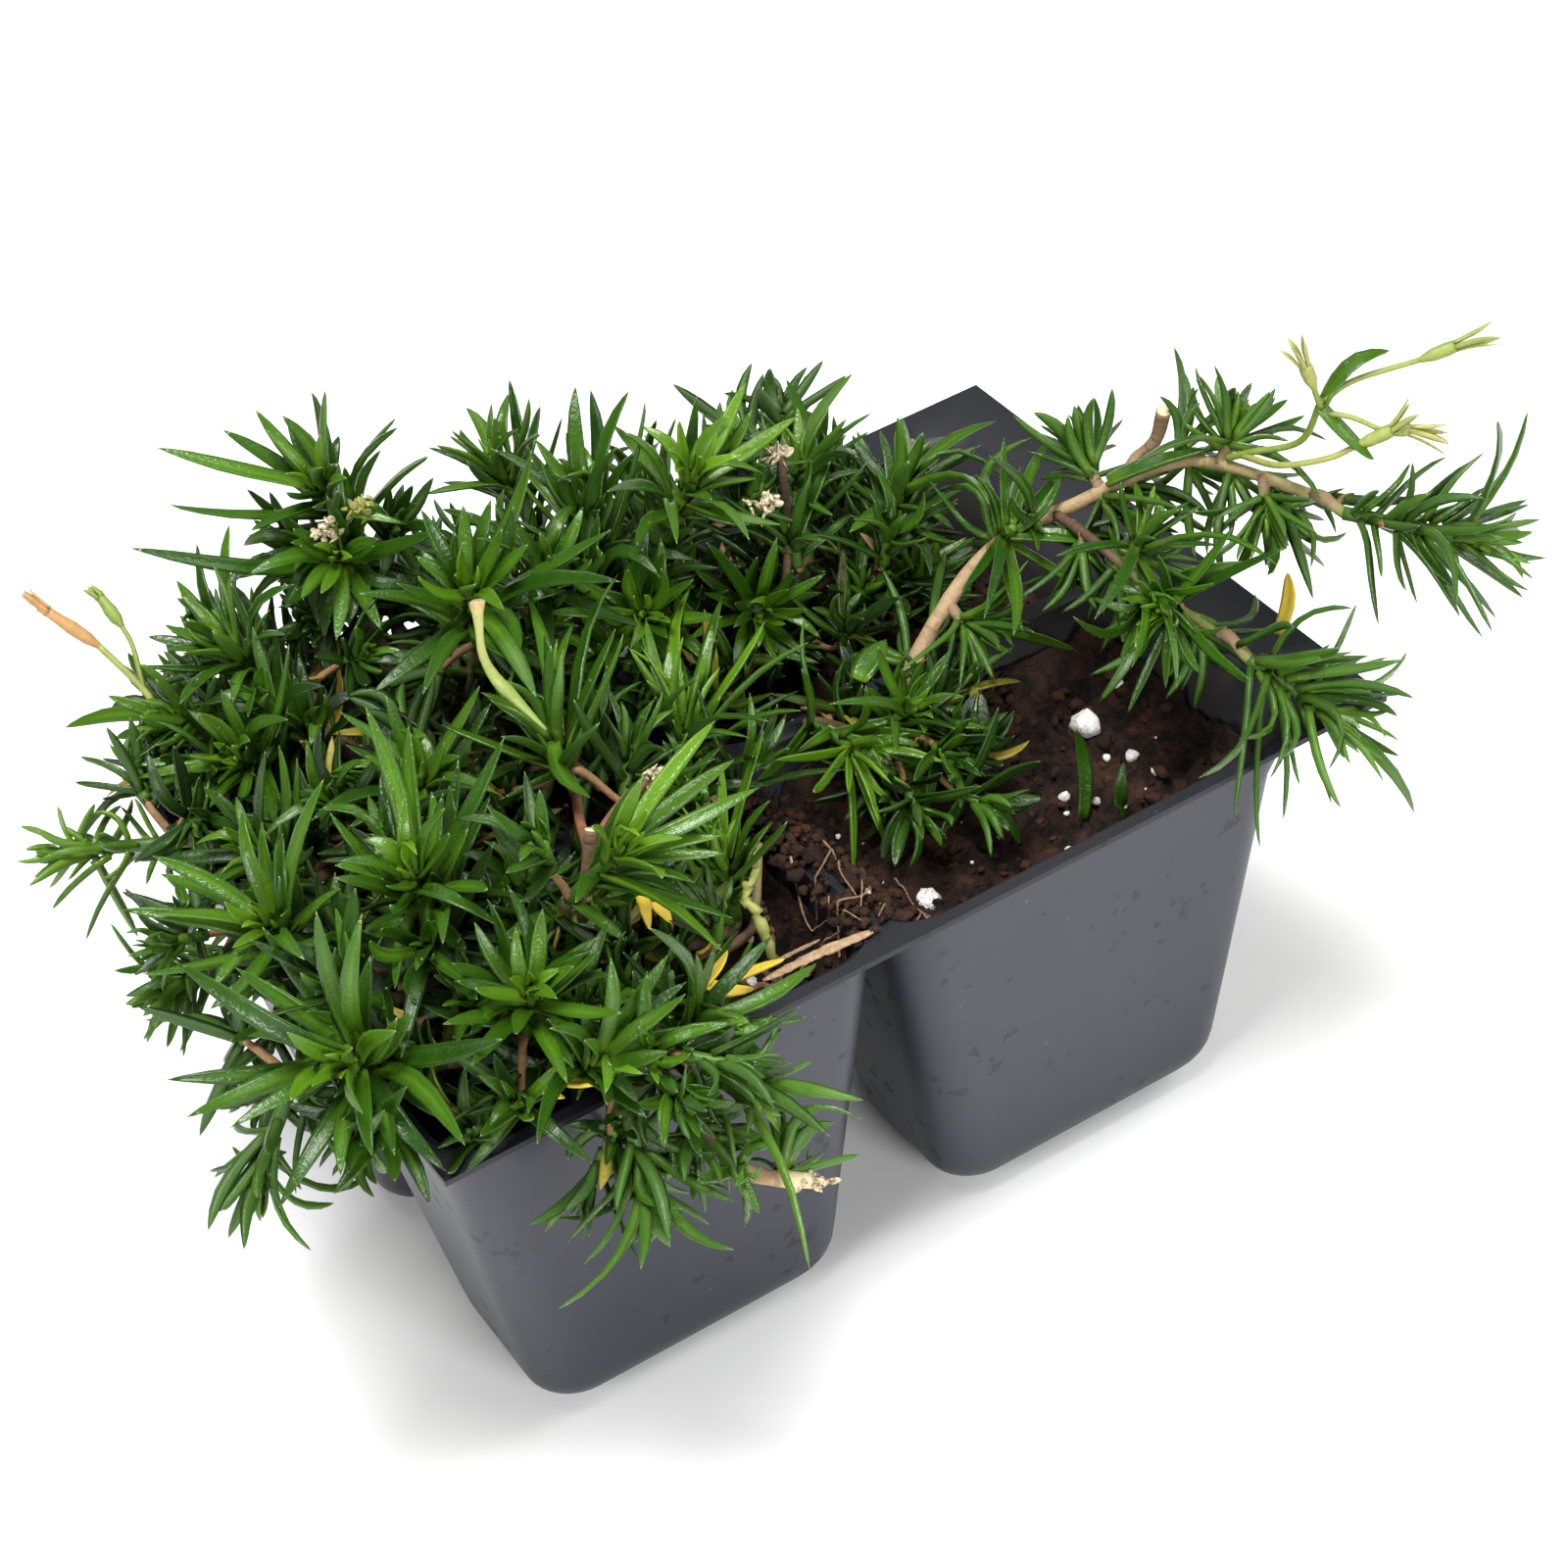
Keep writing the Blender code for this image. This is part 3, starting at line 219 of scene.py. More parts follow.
def grid_faces(rows, columns, start=0):
    """Four-sided faces of a grid of rows by columns points, closed round its columns."""
    row, column = np.meshgrid(np.arange(rows - 1), np.arange(columns), indexing="ij")
    right = (column + 1) % columns
    corners = [row * columns + column, row * columns + right, (row + 1) * columns + right,
               (row + 1) * columns + column]
    return (np.stack(corners, axis=-1).reshape(-1, 4) + start).tolist()


def opening_ring(column, row, inset):
    """A cell's rounded rectangle moved in by inset: corner arcs of one radius, and straights."""
    x0, y0 = CELL_LEFT[column] + inset, CELL_FRONT[row] + inset
    x1, y1 = CELL_LEFT[column] + CELL_X - inset, CELL_FRONT[row] + CELL_Y - inset
    r = max(CELL_CORNER, CELL_CORNER - inset)
    middle = np.array([[x1 - r, y0 + r], [x1 - r, y1 - r], [x0 + r, y1 - r], [x0 + r, y0 + r]])
    a = np.radians(np.array([-90, 0, 90, 180])[:, None] + np.linspace(0, 90, ARC))
    arcs = middle[:, None] + r * np.stack([np.cos(a), np.sin(a)], axis=-1)
    share = (np.arange(1, SIDE + 1) / (SIDE + 1))[:, None]
    sides = arcs[:, -1:] * (1 - share) + np.roll(arcs, -1, axis=0)[:, :1] * share
    return np.concatenate([arcs, sides], axis=1).reshape(-1, 2)


def rim_ring(column, row):
    """The same count of points on the cell's square share of the rim, in step with its opening."""
    x0, x1 = FRAME_X[column], FRAME_X[column + 1]
    y0, y1 = FRAME_Y[row], FRAME_Y[row + 1]
    inner = opening_ring(column, row, 0.0).reshape(4, ARC + SIDE, 2)
    corner = np.array([[x1, y0], [x1, y1], [x0, y1], [x0, y0]])
    start, end = inner[:, 0].copy(), inner[:, ARC - 1].copy()
    start[::2, 1], start[1::2, 0] = corner[::2, 1], corner[1::2, 0]
    end[::2, 0], end[1::2, 1] = corner[::2, 0], corner[1::2, 1]
    u = np.linspace(-1, 1, ARC)[None, :, None]
    arcs = np.where(u < 0, corner[:, None] + (start - corner)[:, None] * -u,
                    corner[:, None] + (end - corner)[:, None] * u)
    share = (np.arange(1, SIDE + 1) / (SIDE + 1))[:, None]
    sides = end[:, None] * (1 - share) + np.roll(start, -1, axis=0)[:, None] * share
    return np.concatenate([arcs, sides], axis=1).reshape(-1, 2)


def wall_inset(z):
    """How far a cell's outer wall stands inside its opening at height z: a taper and a round foot."""
    low = np.clip(1 - np.asarray(z, float) / FOOT_HEIGHT, 0, 1)
    return CELL_TAPER * (PACK_Z - z) / PACK_Z - SHEET + FOOT_ROUNDING * low ** 3.2


def flare(flat, z, column):
    """Leans the right cells' right walls out near the rim, by FLARE at its edge."""
    if column == 0:
        return flat
    high = np.clip((z - FLARE_FOOT) / (PACK_Z - FLARE_FOOT), 0, 1) ** 1.2
    right = np.clip((flat[:, 0] - CELL_LEFT[1] - CELL_X * 0.5) / (CELL_X * 0.5), 0, 1) ** 4
    return flat + np.stack([FLARE * high * right, 0 * right], axis=-1)


def cell_shell(column, row):
    """One cell with its share of the rim, as rings from the rim's top edge in and down and back out.

    The profile runs: rim, rolled lip, inner wall to the round foot, floor, drain hole, and the same
    way back outside to the rim's under edge, so the sheet is closed all round.
    """
    ring = opening_ring(column, row, 0.0)
    rim = rim_ring(column, row)
    centre = np.array([CELL_LEFT[column] + CELL_X / 2, CELL_FRONT[row] + CELL_Y / 2])
    way = np.arctan2(*(ring - centre).T[::-1])
    hole = centre + DRAIN_HOLE * np.stack([np.cos(way), np.sin(way)], axis=-1)
    heights = np.concatenate([np.linspace(PACK_Z - 1.6, FOOT_HEIGHT, 11), np.linspace(6.6, 0, 10)])
    rows = [(rim, PACK_Z)]
    for a in np.radians([90, 60, 30, 0]):
        lip = opening_ring(column, row, -LIP_RADIUS * math.sin(a))
        rows.append((lip, PACK_Z - LIP_RADIUS * (1 - math.sin(a))))
    rows += [(opening_ring(column, row, wall_inset(z) + SHEET), z + SHEET) for z in heights]
    floor = opening_ring(column, row, wall_inset(0.0) + SHEET)
    rows += [(floor * (1 - s) + hole * s, SHEET) for s in (0.3, 0.6, 1.0)]
    floor = opening_ring(column, row, wall_inset(0.0))
    rows += [(hole * (1 - s) + floor * s, 0.0) for s in (0.0, 0.4, 0.7)]
    rows += [(opening_ring(column, row, wall_inset(z)), z) for z in heights[::-1]]
    rows += [(opening_ring(column, row, wall_inset(PACK_Z - SHEET)), PACK_Z - SHEET), (rim, PACK_Z - SHEET)]
    rows[1:-1] = [(flare(flat, z, column), z) for flat, z in rows[1:-1]]
    return np.stack([np.column_stack([flat, np.full(len(flat), z)]) for flat, z in rows])


def charcoal_plastic():
    """Half-glossy charcoal sheet: a little paler where dust and dried drops lie on it, and darkened on the
    rim's top by painted shade.
    """
    f = Finish("charcoal plastic")
    rim, inner = f.attribute("rim"), f.attribute("inner")
    cloud = f.noise(22.0, 3.0)
    drops = f.noise(2.6, 1.0).ramp(0.62, 0.68) * f.noise(9.0, 1.0).ramp(0.5, 0.6)
    dust = f.specks(2.6).ramp(0.1, 0.04) * f.noise(7.0, 1.0).ramp(0.58, 0.64)
    base = f.layers(f.mix(cloud, (0.012, 0.0138, 0.022), (0.017, 0.0192, 0.029)),
                    (drops * 0.5, (0.005, 0.005, 0.007)), (dust * 0.5, (0.20, 0.19, 0.17)),
                    # painted shade: the rim's top is darkened as if less light fell on it
                    (rim * 0.75, (0.003, 0.0032, 0.0045)),
                    (inner * f.noise(5.0, 3.0).ramp(0.3, 0.6) * 0.8, (0.013, 0.0085, 0.006)))
    rough = 0.36 + 0.12 * rim + 0.3 * inner + 0.10 * cloud + 0.2 * dust + 0.12 * drops
    dents = f.bump(f.noise(30.0, 1.0), 0.8)
    grain = f.bump(f.noise(0.8, 2.0) * 0.06, 0.12, dents)
    return f.done(base_color=base, roughness=rough, normal=grain, specular_ior_level=0.36)


shells = [cell_shell(column, row) for column in range(2) for row in range(2)]
rows, count = shells[0].shape[:2]
faces = []
for k, shell in enumerate(shells):
    faces += grid_faces(rows, count, start=k * rows * count)
    top = k * rows * count + np.arange(count)
    under = top + (rows - 1) * count
    for axis, half in ((0, PACK_X / 2), (1, PACK_Y / 2)):
        edge = abs(abs(shell[0, :, axis]) - half) < 1e-6
        same = shell[0, :, axis] * np.roll(shell[0, :, axis], -1) > 0
        at = np.nonzero(edge & np.roll(edge, -1) & same)[0]
        n = (at + 1) % count
        faces += np.stack([top[at], under[at], under[n], top[n]], axis=-1).tolist()
points = np.concatenate(shells).reshape(-1, 3)
# The rings inside a cell, where wet peat has stained the sheet
stained = (np.arange(rows) > 4) & (np.arange(rows) < 29)
# rim marks the rim's top for its painted shade; inner marks the stained rings
pack = piece("nursery_pack", points, faces, charcoal_plastic(), "pack_plastic", ["cell_pack"],
             rim=np.clip(points[:, 2] - PACK_Z + 1.7, 0, 1),
             inner=np.tile(np.repeat(stained, count), len(shells)).astype(float))
close_up(pack)
pack.data.set_sharp_from_angle(angle=math.radians(40))


# The plugs of peat: each is pressed into its cell, with a crumbly top a little below the rim, white
# grains of perlite through it, and loose crumbs, fine roots and bits of bark lying on it.
SOIL_RELIEF = 1.1
FIT_GAP = 0.3
TRUNK_RADIUS = 1.9
TRUNK_FOOT = 38.0
# Where each plant stands
CROWNS = {"front_left": (-34.0, -20.0), "back_left": (-35.0, 20.0),
          "back_right": (19.0, 24.0), "front_right": (18.0, -12.0)}
# Grains of perlite that show, as x, y and half their width; others are scattered
PERLITE = ((39.8, -17.8, 2.0), (6.8, -30.7, 1.9), (-18.1, -29.6, 1.0), (41.5, -25.6, 0.9),
           (41.8, -30.4, 0.7), (30.1, -26.8, 0.8), (25.6, -34.2, 0.8), (39.7, -22.4, 0.7),
           (43.9, -33.8, 0.7), (47.8, -14.0, 0.8), (34.8, 27.4, 1.1), (40.2, 33.0, 0.9), (12.0, 8.0, 1.0))
# Scattered grains: how many are drawn for each plug, and how many of those are tried
GRAINS_DRAWN, GRAINS_TRIED = 60, 26
# Loose crumbs on each plug, and those spilled over the web between the front cells, with their sizes
CRUMBS, CRUMB_SIZES = 330, (0.35, 1.25)
SPILLED, SPILLED_SIZES = 300, (0.4, 1.05)
# Where the peat heaped over the web is highest, across
WEB_MIDDLE = -5.7
# Fine roots on the front right plug, and tan bits of dry stem in the front left one
ROOTS = (((-1.5, -18), (-2.9, -23), (-3.4, -27), (-2, -30.3), (-3.7, -34.3), (-6.2, -38)),
         ((0.6, -18), (1.4, -22.9), (-1.2, -26.3), (-4.5, -30.5), (-5.6, -36)),
         ((4.6, -27), (4.2, -30.5), (4.6, -34), (4.1, -37.5)),
         ((4.5, -33), (2.5, -34.5), (1.5, -37)), ((4.6, -33.5), (3.6, -36.5), (2.0, -39)),
         ((-8, -25), (-9.5, -30), (-8.2, -34)), ((-3.4, -27), (-6, -29), (-9, -31)),
         ((-10, -38), (-8, -35.5), (-5, -36.5), (-2.5, -35)), ((-11, -33), (-8.5, -36), (-7.5, -40)),
         ((-4.6, -22), (-6.2, -26), (-5.4, -31), (-7.4, -35), (-6.8, -39)),
         ((-1, -33), (-3, -37), (-2.2, -40.5)), ((0.5, -36), (-2.5, -38.4), (-5.5, -40.8)))
STRAWS = (((-15.9, -28.7), (-15.0, -32.8), (-11.7, -34.3)), ((-20, -31), (-15, -33.5), (-11.5, -33)),
          ((-24, -33), (-19, -34), (-14, -30)), ((-11.6, -22), (-12.5, -26), (-14.5, -29)))
# Flakes of bark by the web: route and half width
FLAKES = ((((-21.5, -40.4, 59.3), (-14, -40.9, 59.6), (-7.0, -41.6, 59.5)), 0.95),
          (((-22, -37, 57.5), (-17, -37.9, 58.6), (-12.5, -38.6, 59.2)), 0.4))


def soil_height(x, y):
    """The plug's rolling top: three crossed waves about its mean level."""
    wave = np.sin(x / 5.1 + 0.6) * np.cos(y / 4.3)
    wave = wave + 0.6 * np.sin((x + y) / 3.1) + 0.5 * np.cos((x - y) / 2.3)
    return SOIL_TOP + SOIL_RELIEF * wave / 1.6


LATTICE = np.random.default_rng(5).random((128, 128))


def lattice_noise(x, y, size):
    """Random heights from -1 to 1 on a square lattice, blended smoothly between its points."""
    x, y = x / size + 40.0, y / size + 40.0
    i, j = np.floor(x).astype(int), np.floor(y).astype(int)
    u, v = x - i, y - j
    u, v = u * u * (3 - 2 * u), v * v * (3 - 2 * v)
    a, b = LATTICE[i % 128, j % 128], LATTICE[(i + 1) % 128, j % 128]
    c, d = LATTICE[i % 128, (j + 1) % 128], LATTICE[(i + 1) % 128, (j + 1) % 128]
    return 2 * ((a * (1 - u) + b * u) * (1 - v) + (c * (1 - u) + d * u) * v) - 1


def banked(x, y):
    """How high the peat is heaped against the front web and against two walls of the right cell."""
    web = 8.0 * np.exp(-((x - WEB_MIDDLE) / 4.6) ** 2)
    web *= np.clip((-6.0 - y) / 8, 0, 1) * np.clip((y + 43) / 2, 0, 1)
    right = 5.0 * np.exp(-((x - 52.5) / 4.0) ** 2) * np.clip((-0.5 - y) / 4, 0, 1)
    back = 5.0 * np.exp(-((y + 3.6) / 3.5) ** 2) * np.clip(x / 4, 0, 1) * (y < -1.9)
    return web + right + back


def crumbly_height(x, y):
    """The plug's top with its crumbs: lattice noise of four sizes, sharpened into lumps."""
    coarse = 1.9 * (1 - abs(lattice_noise(x, y, 3.1))) + 1.2 * (1 - abs(lattice_noise(x + 9, y, 1.7)))
    fine = 0.5 * lattice_noise(x, y, 0.9) + 0.3 * lattice_noise(x, y + 5, 0.5)
    return soil_height(x, y) - 2.7 + coarse + 1.4 * fine + 0.9 * lattice_noise(x, y, 6.0) + banked(x, y)


# A slanting way that hardly any stem follows, from which turns round a stem are counted
ASKEW = np.array([0.31, 0.87, 0.38])


def tube(path, radii, sides=8):
    """Rings of a round stem along a path, each square to it, as (rings, sides, 3) points."""
    path = np.asarray(path, float)
    run = np.gradient(path, axis=0)
    run /= np.linalg.norm(run, axis=1)[:, None]
    side = np.cross(run, ASKEW)
    too_steep = np.linalg.norm(side, axis=1)[:, None] < 0.2
    side = np.where(too_steep, np.cross(run, (0.0, 0.1, 1.0)), side)
    side /= np.linalg.norm(side, axis=1)[:, None]
    a = (np.arange(sides) * 2 * math.pi / sides)[None, :, None]
    out = np.cos(a) * side[:, None] + np.sin(a) * np.cross(run, side)[:, None]
    return path[:, None] + out * np.broadcast_to(radii, len(path))[:, None, None]


def smooth_path(points, count):
    """A smooth curve through the points, by cubic pieces whose slopes follow their neighbours."""
    p = np.asarray(points, float)
    p = np.concatenate([[2 * p[0] - p[1]], p, [2 * p[-1] - p[-2]]])
    u = np.linspace(0, len(p) - 3, count)
    k = np.minimum(u.astype(int), len(p) - 4)
    t = (u - k)[:, None]
    a, b, c, d = p[k], p[k + 1], p[k + 2], p[k + 3]
    return 0.5 * (2 * b + (c - a) * t + (2 * a - 5 * b + 4 * c - d) * t ** 2
                  + (3 * b - a - 3 * c + d) * t ** 3)


class Parts:
    """Points, faces and one mark a point, gathered part by part into one mesh."""

    def __init__(self):
        self.points, self.faces, self.marks, self.count = [], [], [], 0

    def add(self, points, faces, mark):
        """Adds a part: its points, faces numbered from 0, and a mark for all or for each point."""
        points = np.asarray(points, float).reshape(-1, 3)
        self.points.append(points)
        self.faces += [[k + self.count for k in face] for face in faces]
        mark = np.atleast_2d(np.asarray(mark, float))
        self.marks.append(np.broadcast_to(mark, (len(points), mark.shape[1])))
        self.count += len(points)

    def add_tube(self, rings, mark):
        """Adds a tube's rings, closed flat at both ends."""
        rows, sides = rings.shape[:2]
        faces = grid_faces(rows, sides)
        faces += [list(range(sides))[::-1], list(range((rows - 1) * sides, rows * sides))]
        self.add(rings, faces, mark)

    def arrays(self):
        return np.concatenate(self.points), self.faces, np.concatenate(self.marks)


# The corners and faces of a twenty-sided body, whose corners are a golden step apart
GOLDEN, ONE = (1.618, -1.618), (1, -1)
LUMP_POINTS = np.array([(0, a, b) for b in GOLDEN for a in ONE] + [(a, b, 0) for b in GOLDEN for a in ONE]
                       + [(b, 0, a) for a in ONE for b in GOLDEN]) / 1.902
LUMP_FACES = [(0, 1, 8), (0, 9, 1), (0, 5, 9), (0, 4, 5), (0, 8, 4), (1, 6, 8), (8, 10, 4), (4, 2, 5),
              (5, 11, 9), (9, 7, 1), (3, 10, 6), (3, 2, 10), (3, 11, 2), (3, 7, 11), (3, 6, 7), (6, 10, 8),
              (10, 2, 4), (2, 11, 5), (11, 7, 9), (7, 6, 1)]


def lumps(draw, places, sizes):
    """Twenty-sided crumbs at these places: each corner pushed in or out, flattened and turned."""
    n = len(places)
    shape = LUMP_POINTS * draw.uniform(0.62, 1.25, (n, 12, 1)) * draw.uniform(0.7, 1.2, (n, 1, 3))
    a = draw.uniform(0, 2 * math.pi, n)
    x = shape[..., 0] * np.cos(a)[:, None] - shape[..., 1] * np.sin(a)[:, None]
    y = shape[..., 0] * np.sin(a)[:, None] + shape[..., 1] * np.cos(a)[:, None]
    shape = np.stack([x, y, shape[..., 2] * 0.7], axis=-1) * sizes[:, None, None]
    faces = (np.array(LUMP_FACES) + 12 * np.arange(n)[:, None, None]).reshape(-1, 3).tolist()
    return (shape + places[:, None]).reshape(-1, 3), faces


def grain(place, radius, draw):
    """A round grain as rings from its foot to its head, dented by a few waves."""
    rise = np.linspace(-math.pi / 2, math.pi / 2, 9)[:, None]
    turn = np.linspace(0, 2 * math.pi, 12, endpoint=False)[None]
    p = draw.uniform(0, 6, 4)
    dent = 1 + 0.15 * np.sin(2 * turn + p[0]) * np.cos(2 * rise + p[1])
    dent = dent + 0.06 * np.sin(5 * turn + p[2] + 3 * rise)
    flat = np.maximum(np.cos(rise), 0.05) * dent * draw.uniform(0.85, 1.1)
    shape = np.stack([flat * np.cos(turn) * draw.uniform(0.85, 1.15), flat * np.sin(turn),
                      0.9 * np.sin(rise) * dent], axis=-1)
    return np.asarray(place) + radius * shape


def plug_body(column, row, crown):
    """The plug as rings: up its tapered side, over its crumbly top and down the trunk's hole."""
    ring = opening_ring(column, row, 0.0)
    centre = ring.mean(axis=0)
    way = np.arctan2(*(ring - centre).T[::-1])
    hole = np.array(crown) + (TRUNK_RADIUS + FIT_GAP) * np.stack([np.cos(way), np.sin(way)], axis=-1)
    heights = np.array([0.0, 0.8, 2.0, 5.0, 20.0, 35.0, SOIL_TOP - 1.5])
    rings = [np.column_stack([opening_ring(column, row, wall_inset(z) + SHEET + FIT_GAP),
                              np.full(len(ring), z + SHEET + FIT_GAP)]) for z in heights]
    edge = opening_ring(column, row, wall_inset(SOIL_TOP) + SHEET + FIT_GAP)
    for share in np.linspace(0, 1, 60):
        flat = edge * (1 - share) + hole * share
        z = crumbly_height(*flat.T)
        rings.append(np.column_stack([flat, z - 0.6 * (share == 0)]))
    rings.append(np.column_stack([hole, np.full(len(hole), TRUNK_FOOT - FIT_GAP)]))
    return np.stack(rings)


def in_cell(x, y, column, row, margin):
    """Whether points are within a cell's soil, margin millimetres from its wall."""
    inset = wall_inset(SOIL_TOP) + SHEET + margin
    cx, cy = CELL_LEFT[column] + CELL_X / 2, CELL_FRONT[row] + CELL_Y / 2
    dx, dy = abs(x - cx) - CELL_X / 2 + inset, abs(y - cy) - CELL_Y / 2 + inset
    return (dx < 0) & (dy < 0) & ~((dx > -3) & (dy > -3))


def peat():
    """Dark brown peat by its kind: 0 is peat, 1 perlite, and 2 and 3 the tan of fine roots and straw."""
    f = Finish("peat and perlite")
    kind = f.attribute("kind")
    shade = f.attribute("shade")
    crumb = f.noise(1.1, 4.0, 0.65)
    brown = f.layers(f.mix(crumb.ramp(0.3, 0.7), (0.0012, 0.0009, 0.0007), (0.022, 0.009, 0.0045)),
                     (f.noise(5.0, 2.0).ramp(0.45, 0.62) * 0.6, (0.042, 0.014, 0.006)),
                     (f.noise(3.0, 1.0).ramp(0.55, 0.7) * 0.8, (0.0012, 0.0010, 0.0008)),
                     (shade * 0.6, (0.065, 0.025, 0.011)))
    white = f.mix(f.noise(0.6, 3.0), (0.62, 0.60, 0.56), (0.92, 0.91, 0.88))
    tan = f.mix(f.noise(0.9, 3.0, 0.6) * shade, (0.13, 0.065, 0.028), (0.60, 0.43, 0.27))
    base = f.layers(brown, (kind.ramp(0.4, 0.6), white), (kind.ramp(1.4, 1.6), tan))
    fibres = f.noise(0.5, 3.0, 0.7, stretch=(1.0, 0.25, 1.0))
    normal = f.bump(crumb + fibres * 0.5, 0.8)
    wet = f.noise(5.0, 2.0).ramp(0.4, 0.7)
    return f.done(base_color=base, roughness=0.95 - 0.3 * wet * kind.ramp(0.5, 0.3), normal=normal,
                  specular_ior_level=0.25)


peat_finish = peat()
for plant, crown in CROWNS.items():
    column, row = int(plant.endswith("right")), int(plant.startswith("back"))
    draw = np.random.default_rng(40 + 2 * column + row)
    heap = Parts()
    heap.add_tube(plug_body(column, row, crown), (0.0, 0.0))
    x = draw.uniform(CELL_LEFT[column], CELL_LEFT[column] + CELL_X, 4 * CRUMBS)
    y = draw.uniform(CELL_FRONT[row], CELL_FRONT[row] + CELL_Y, 4 * CRUMBS)
    free = in_cell(x, y, column, row, 1.6) & (np.hypot(x - crown[0], y - crown[1]) > 3.2)
    x, y = x[free][:CRUMBS], y[free][:CRUMBS]
    size = draw.uniform(*CRUMB_SIZES, len(x)) ** 1.5
    points, faces = lumps(draw, np.column_stack([x, y, crumbly_height(x, y) + 0.1 * size]), size)
    heap.add(points, faces, np.column_stack([np.zeros(len(points)), np.repeat(draw.random(len(x)), 12)]))
    grains = [(gx, gy, r) for gx, gy, r in PERLITE if in_cell(gx, gy, column, row, 0.0)]
    for u, v, w in draw.uniform(0, 1, (GRAINS_DRAWN, 3))[:GRAINS_TRIED]:
        gx, gy = CELL_LEFT[column] + u * CELL_X, CELL_FRONT[row] + v * CELL_Y
        if in_cell(gx, gy, column, row, 1.5) and np.hypot(gx - crown[0], gy - crown[1]) > 4:
            grains.append((gx, gy, 0.22 + 0.45 * w ** 2))
    for gx, gy, r in grains:
        heap.add_tube(grain((gx, gy, crumbly_height(gx, gy) + 0.35 * r), r, draw), (1.0, 0.5))
    if plant == "front_right":
        x, y = draw.uniform(-9.5, -2.0, SPILLED), draw.uniform(-42.3, -11.0, SPILLED)
        size = draw.uniform(*SPILLED_SIZES, SPILLED) ** 2
        web_top = PACK_Z - 0.2 + 0.9 * np.exp(-((x - WEB_MIDDLE) / 2.4) ** 2)
        places = np.column_stack([x, y, np.maximum(crumbly_height(x, y), web_top) + 0.1])
        points, faces = lumps(draw, places, size)
        shade = np.repeat(0.6 * draw.random(SPILLED), 12)
        heap.add(points, faces, np.column_stack([np.zeros(len(points)), shade]))
    for lines, thick, kind in ((ROOTS, 0.17, 2.0), (STRAWS, 0.45, 3.0)):
        for line in lines:
            if in_cell(*line[0], column, row, -1.0):
                path = smooth_path([(*p, 0.0) for p in line], 8 * len(line))
                beside = path[:, 0] - WEB_MIDDLE
                high = crumbly_height(path[:, 0], path[:, 1]) + 0.3 + thick
                high = np.maximum(high, (PACK_Z + 1.0) * (abs(beside) < 2.5))
                high += 0.5 * np.exp(-(beside / 5) ** 2)
                high[1:-1] = (high[:-2] + high[1:-1] + high[2:]) / 3
                path[:, 2] = high
                heap.add_tube(tube(path, thick * np.linspace(1, 0.55, len(path)), 6),
                              (kind, draw.uniform(0.2, 0.9)))
    for line, wide in FLAKES:
        if in_cell(*line[0][:2], column, row, -2.0):
            path = smooth_path(line, 8 * len(line))
            spindle = np.sin(math.pi * np.linspace(0.04, 0.93, len(path))) ** 0.5
            rings = tube(path, wide * spindle * draw.uniform(0.75, 1.1, len(path)), 6)
            rings = path[:, None] + (rings - path[:, None]) * [1, 1, 0.25]
            heap.add_tube(rings, (3.0, draw.uniform(0.6, 1.0)))
    points, faces, marks = heap.arrays()
    piece("peat_plug_" + plant, points, faces, peat_finish, "soil_peat", ["soil_" + plant],
          kind=marks[:, 0], shade=marks[:, 1])


# The woody stems: each plant stands on a short trunk in its plug, with thin tan branches that arch
# out of it.  Some were cut back, which left pale ends; most have a rough brown bark, and the long
# stem that leans out to the right is smooth and the colour of straw.
from mathutils.bvhtree import BVHTree

TRUNK_HEAD = 54.5
# The trunk's girth at its foot, at the soil and at its head, beside its radius
TRUNK_GIRTH = (0.8, 1.0, 0.7)
# A branch's radius where it leaves the crown, and where one leaves another stem
BRANCH_RADIUS, SIDE_BRANCH_RADIUS = 1.2, 0.8
STEM_SIDES = 5
# The side from which the leaves' clock hours are counted: turned to the right of the pack's front
# and looking down on it
VIEW_TURN = 26.0
VIEW_DROP = 39.7


def unit(v):
    """The vector at length one."""
    return v / np.linalg.norm(v)


def heading(azimuth, rise):
    """The direction with this azimuth from +X towards +Y and this rise above level, in degrees."""
    a, r = math.radians(azimuth), math.radians(rise)
    return np.array([math.cos(r) * math.cos(a), math.cos(r) * math.sin(a), math.sin(r)])


def across(v, axis):
    """The part of v that is square to axis, at length one."""
    return unit(v - np.dot(v, axis) * axis)


def turned(axis, turn):
    """The direction square to axis at this turn round it."""
    side = across(ASKEW, axis)
    return math.cos(turn) * side + math.sin(turn) * np.cross(axis, side)


def circle(side, axis, count, shift=0.0):
    """Directions evenly round an axis, the first at side or a share of a step past it."""
    a = 2 * math.pi * (np.arange(count) + shift) / count
    return np.cos(a)[:, None] * side + np.sin(a)[:, None] * np.cross(axis, side)


UP = np.array([0.0, 0.0, 1.0])
TO_EYE = -heading(90.0 - VIEW_TURN, -VIEW_DROP)
EYE_RIGHT = heading(-VIEW_TURN, 0.0)
EYE_UP = np.cross(TO_EYE, EYE_RIGHT)

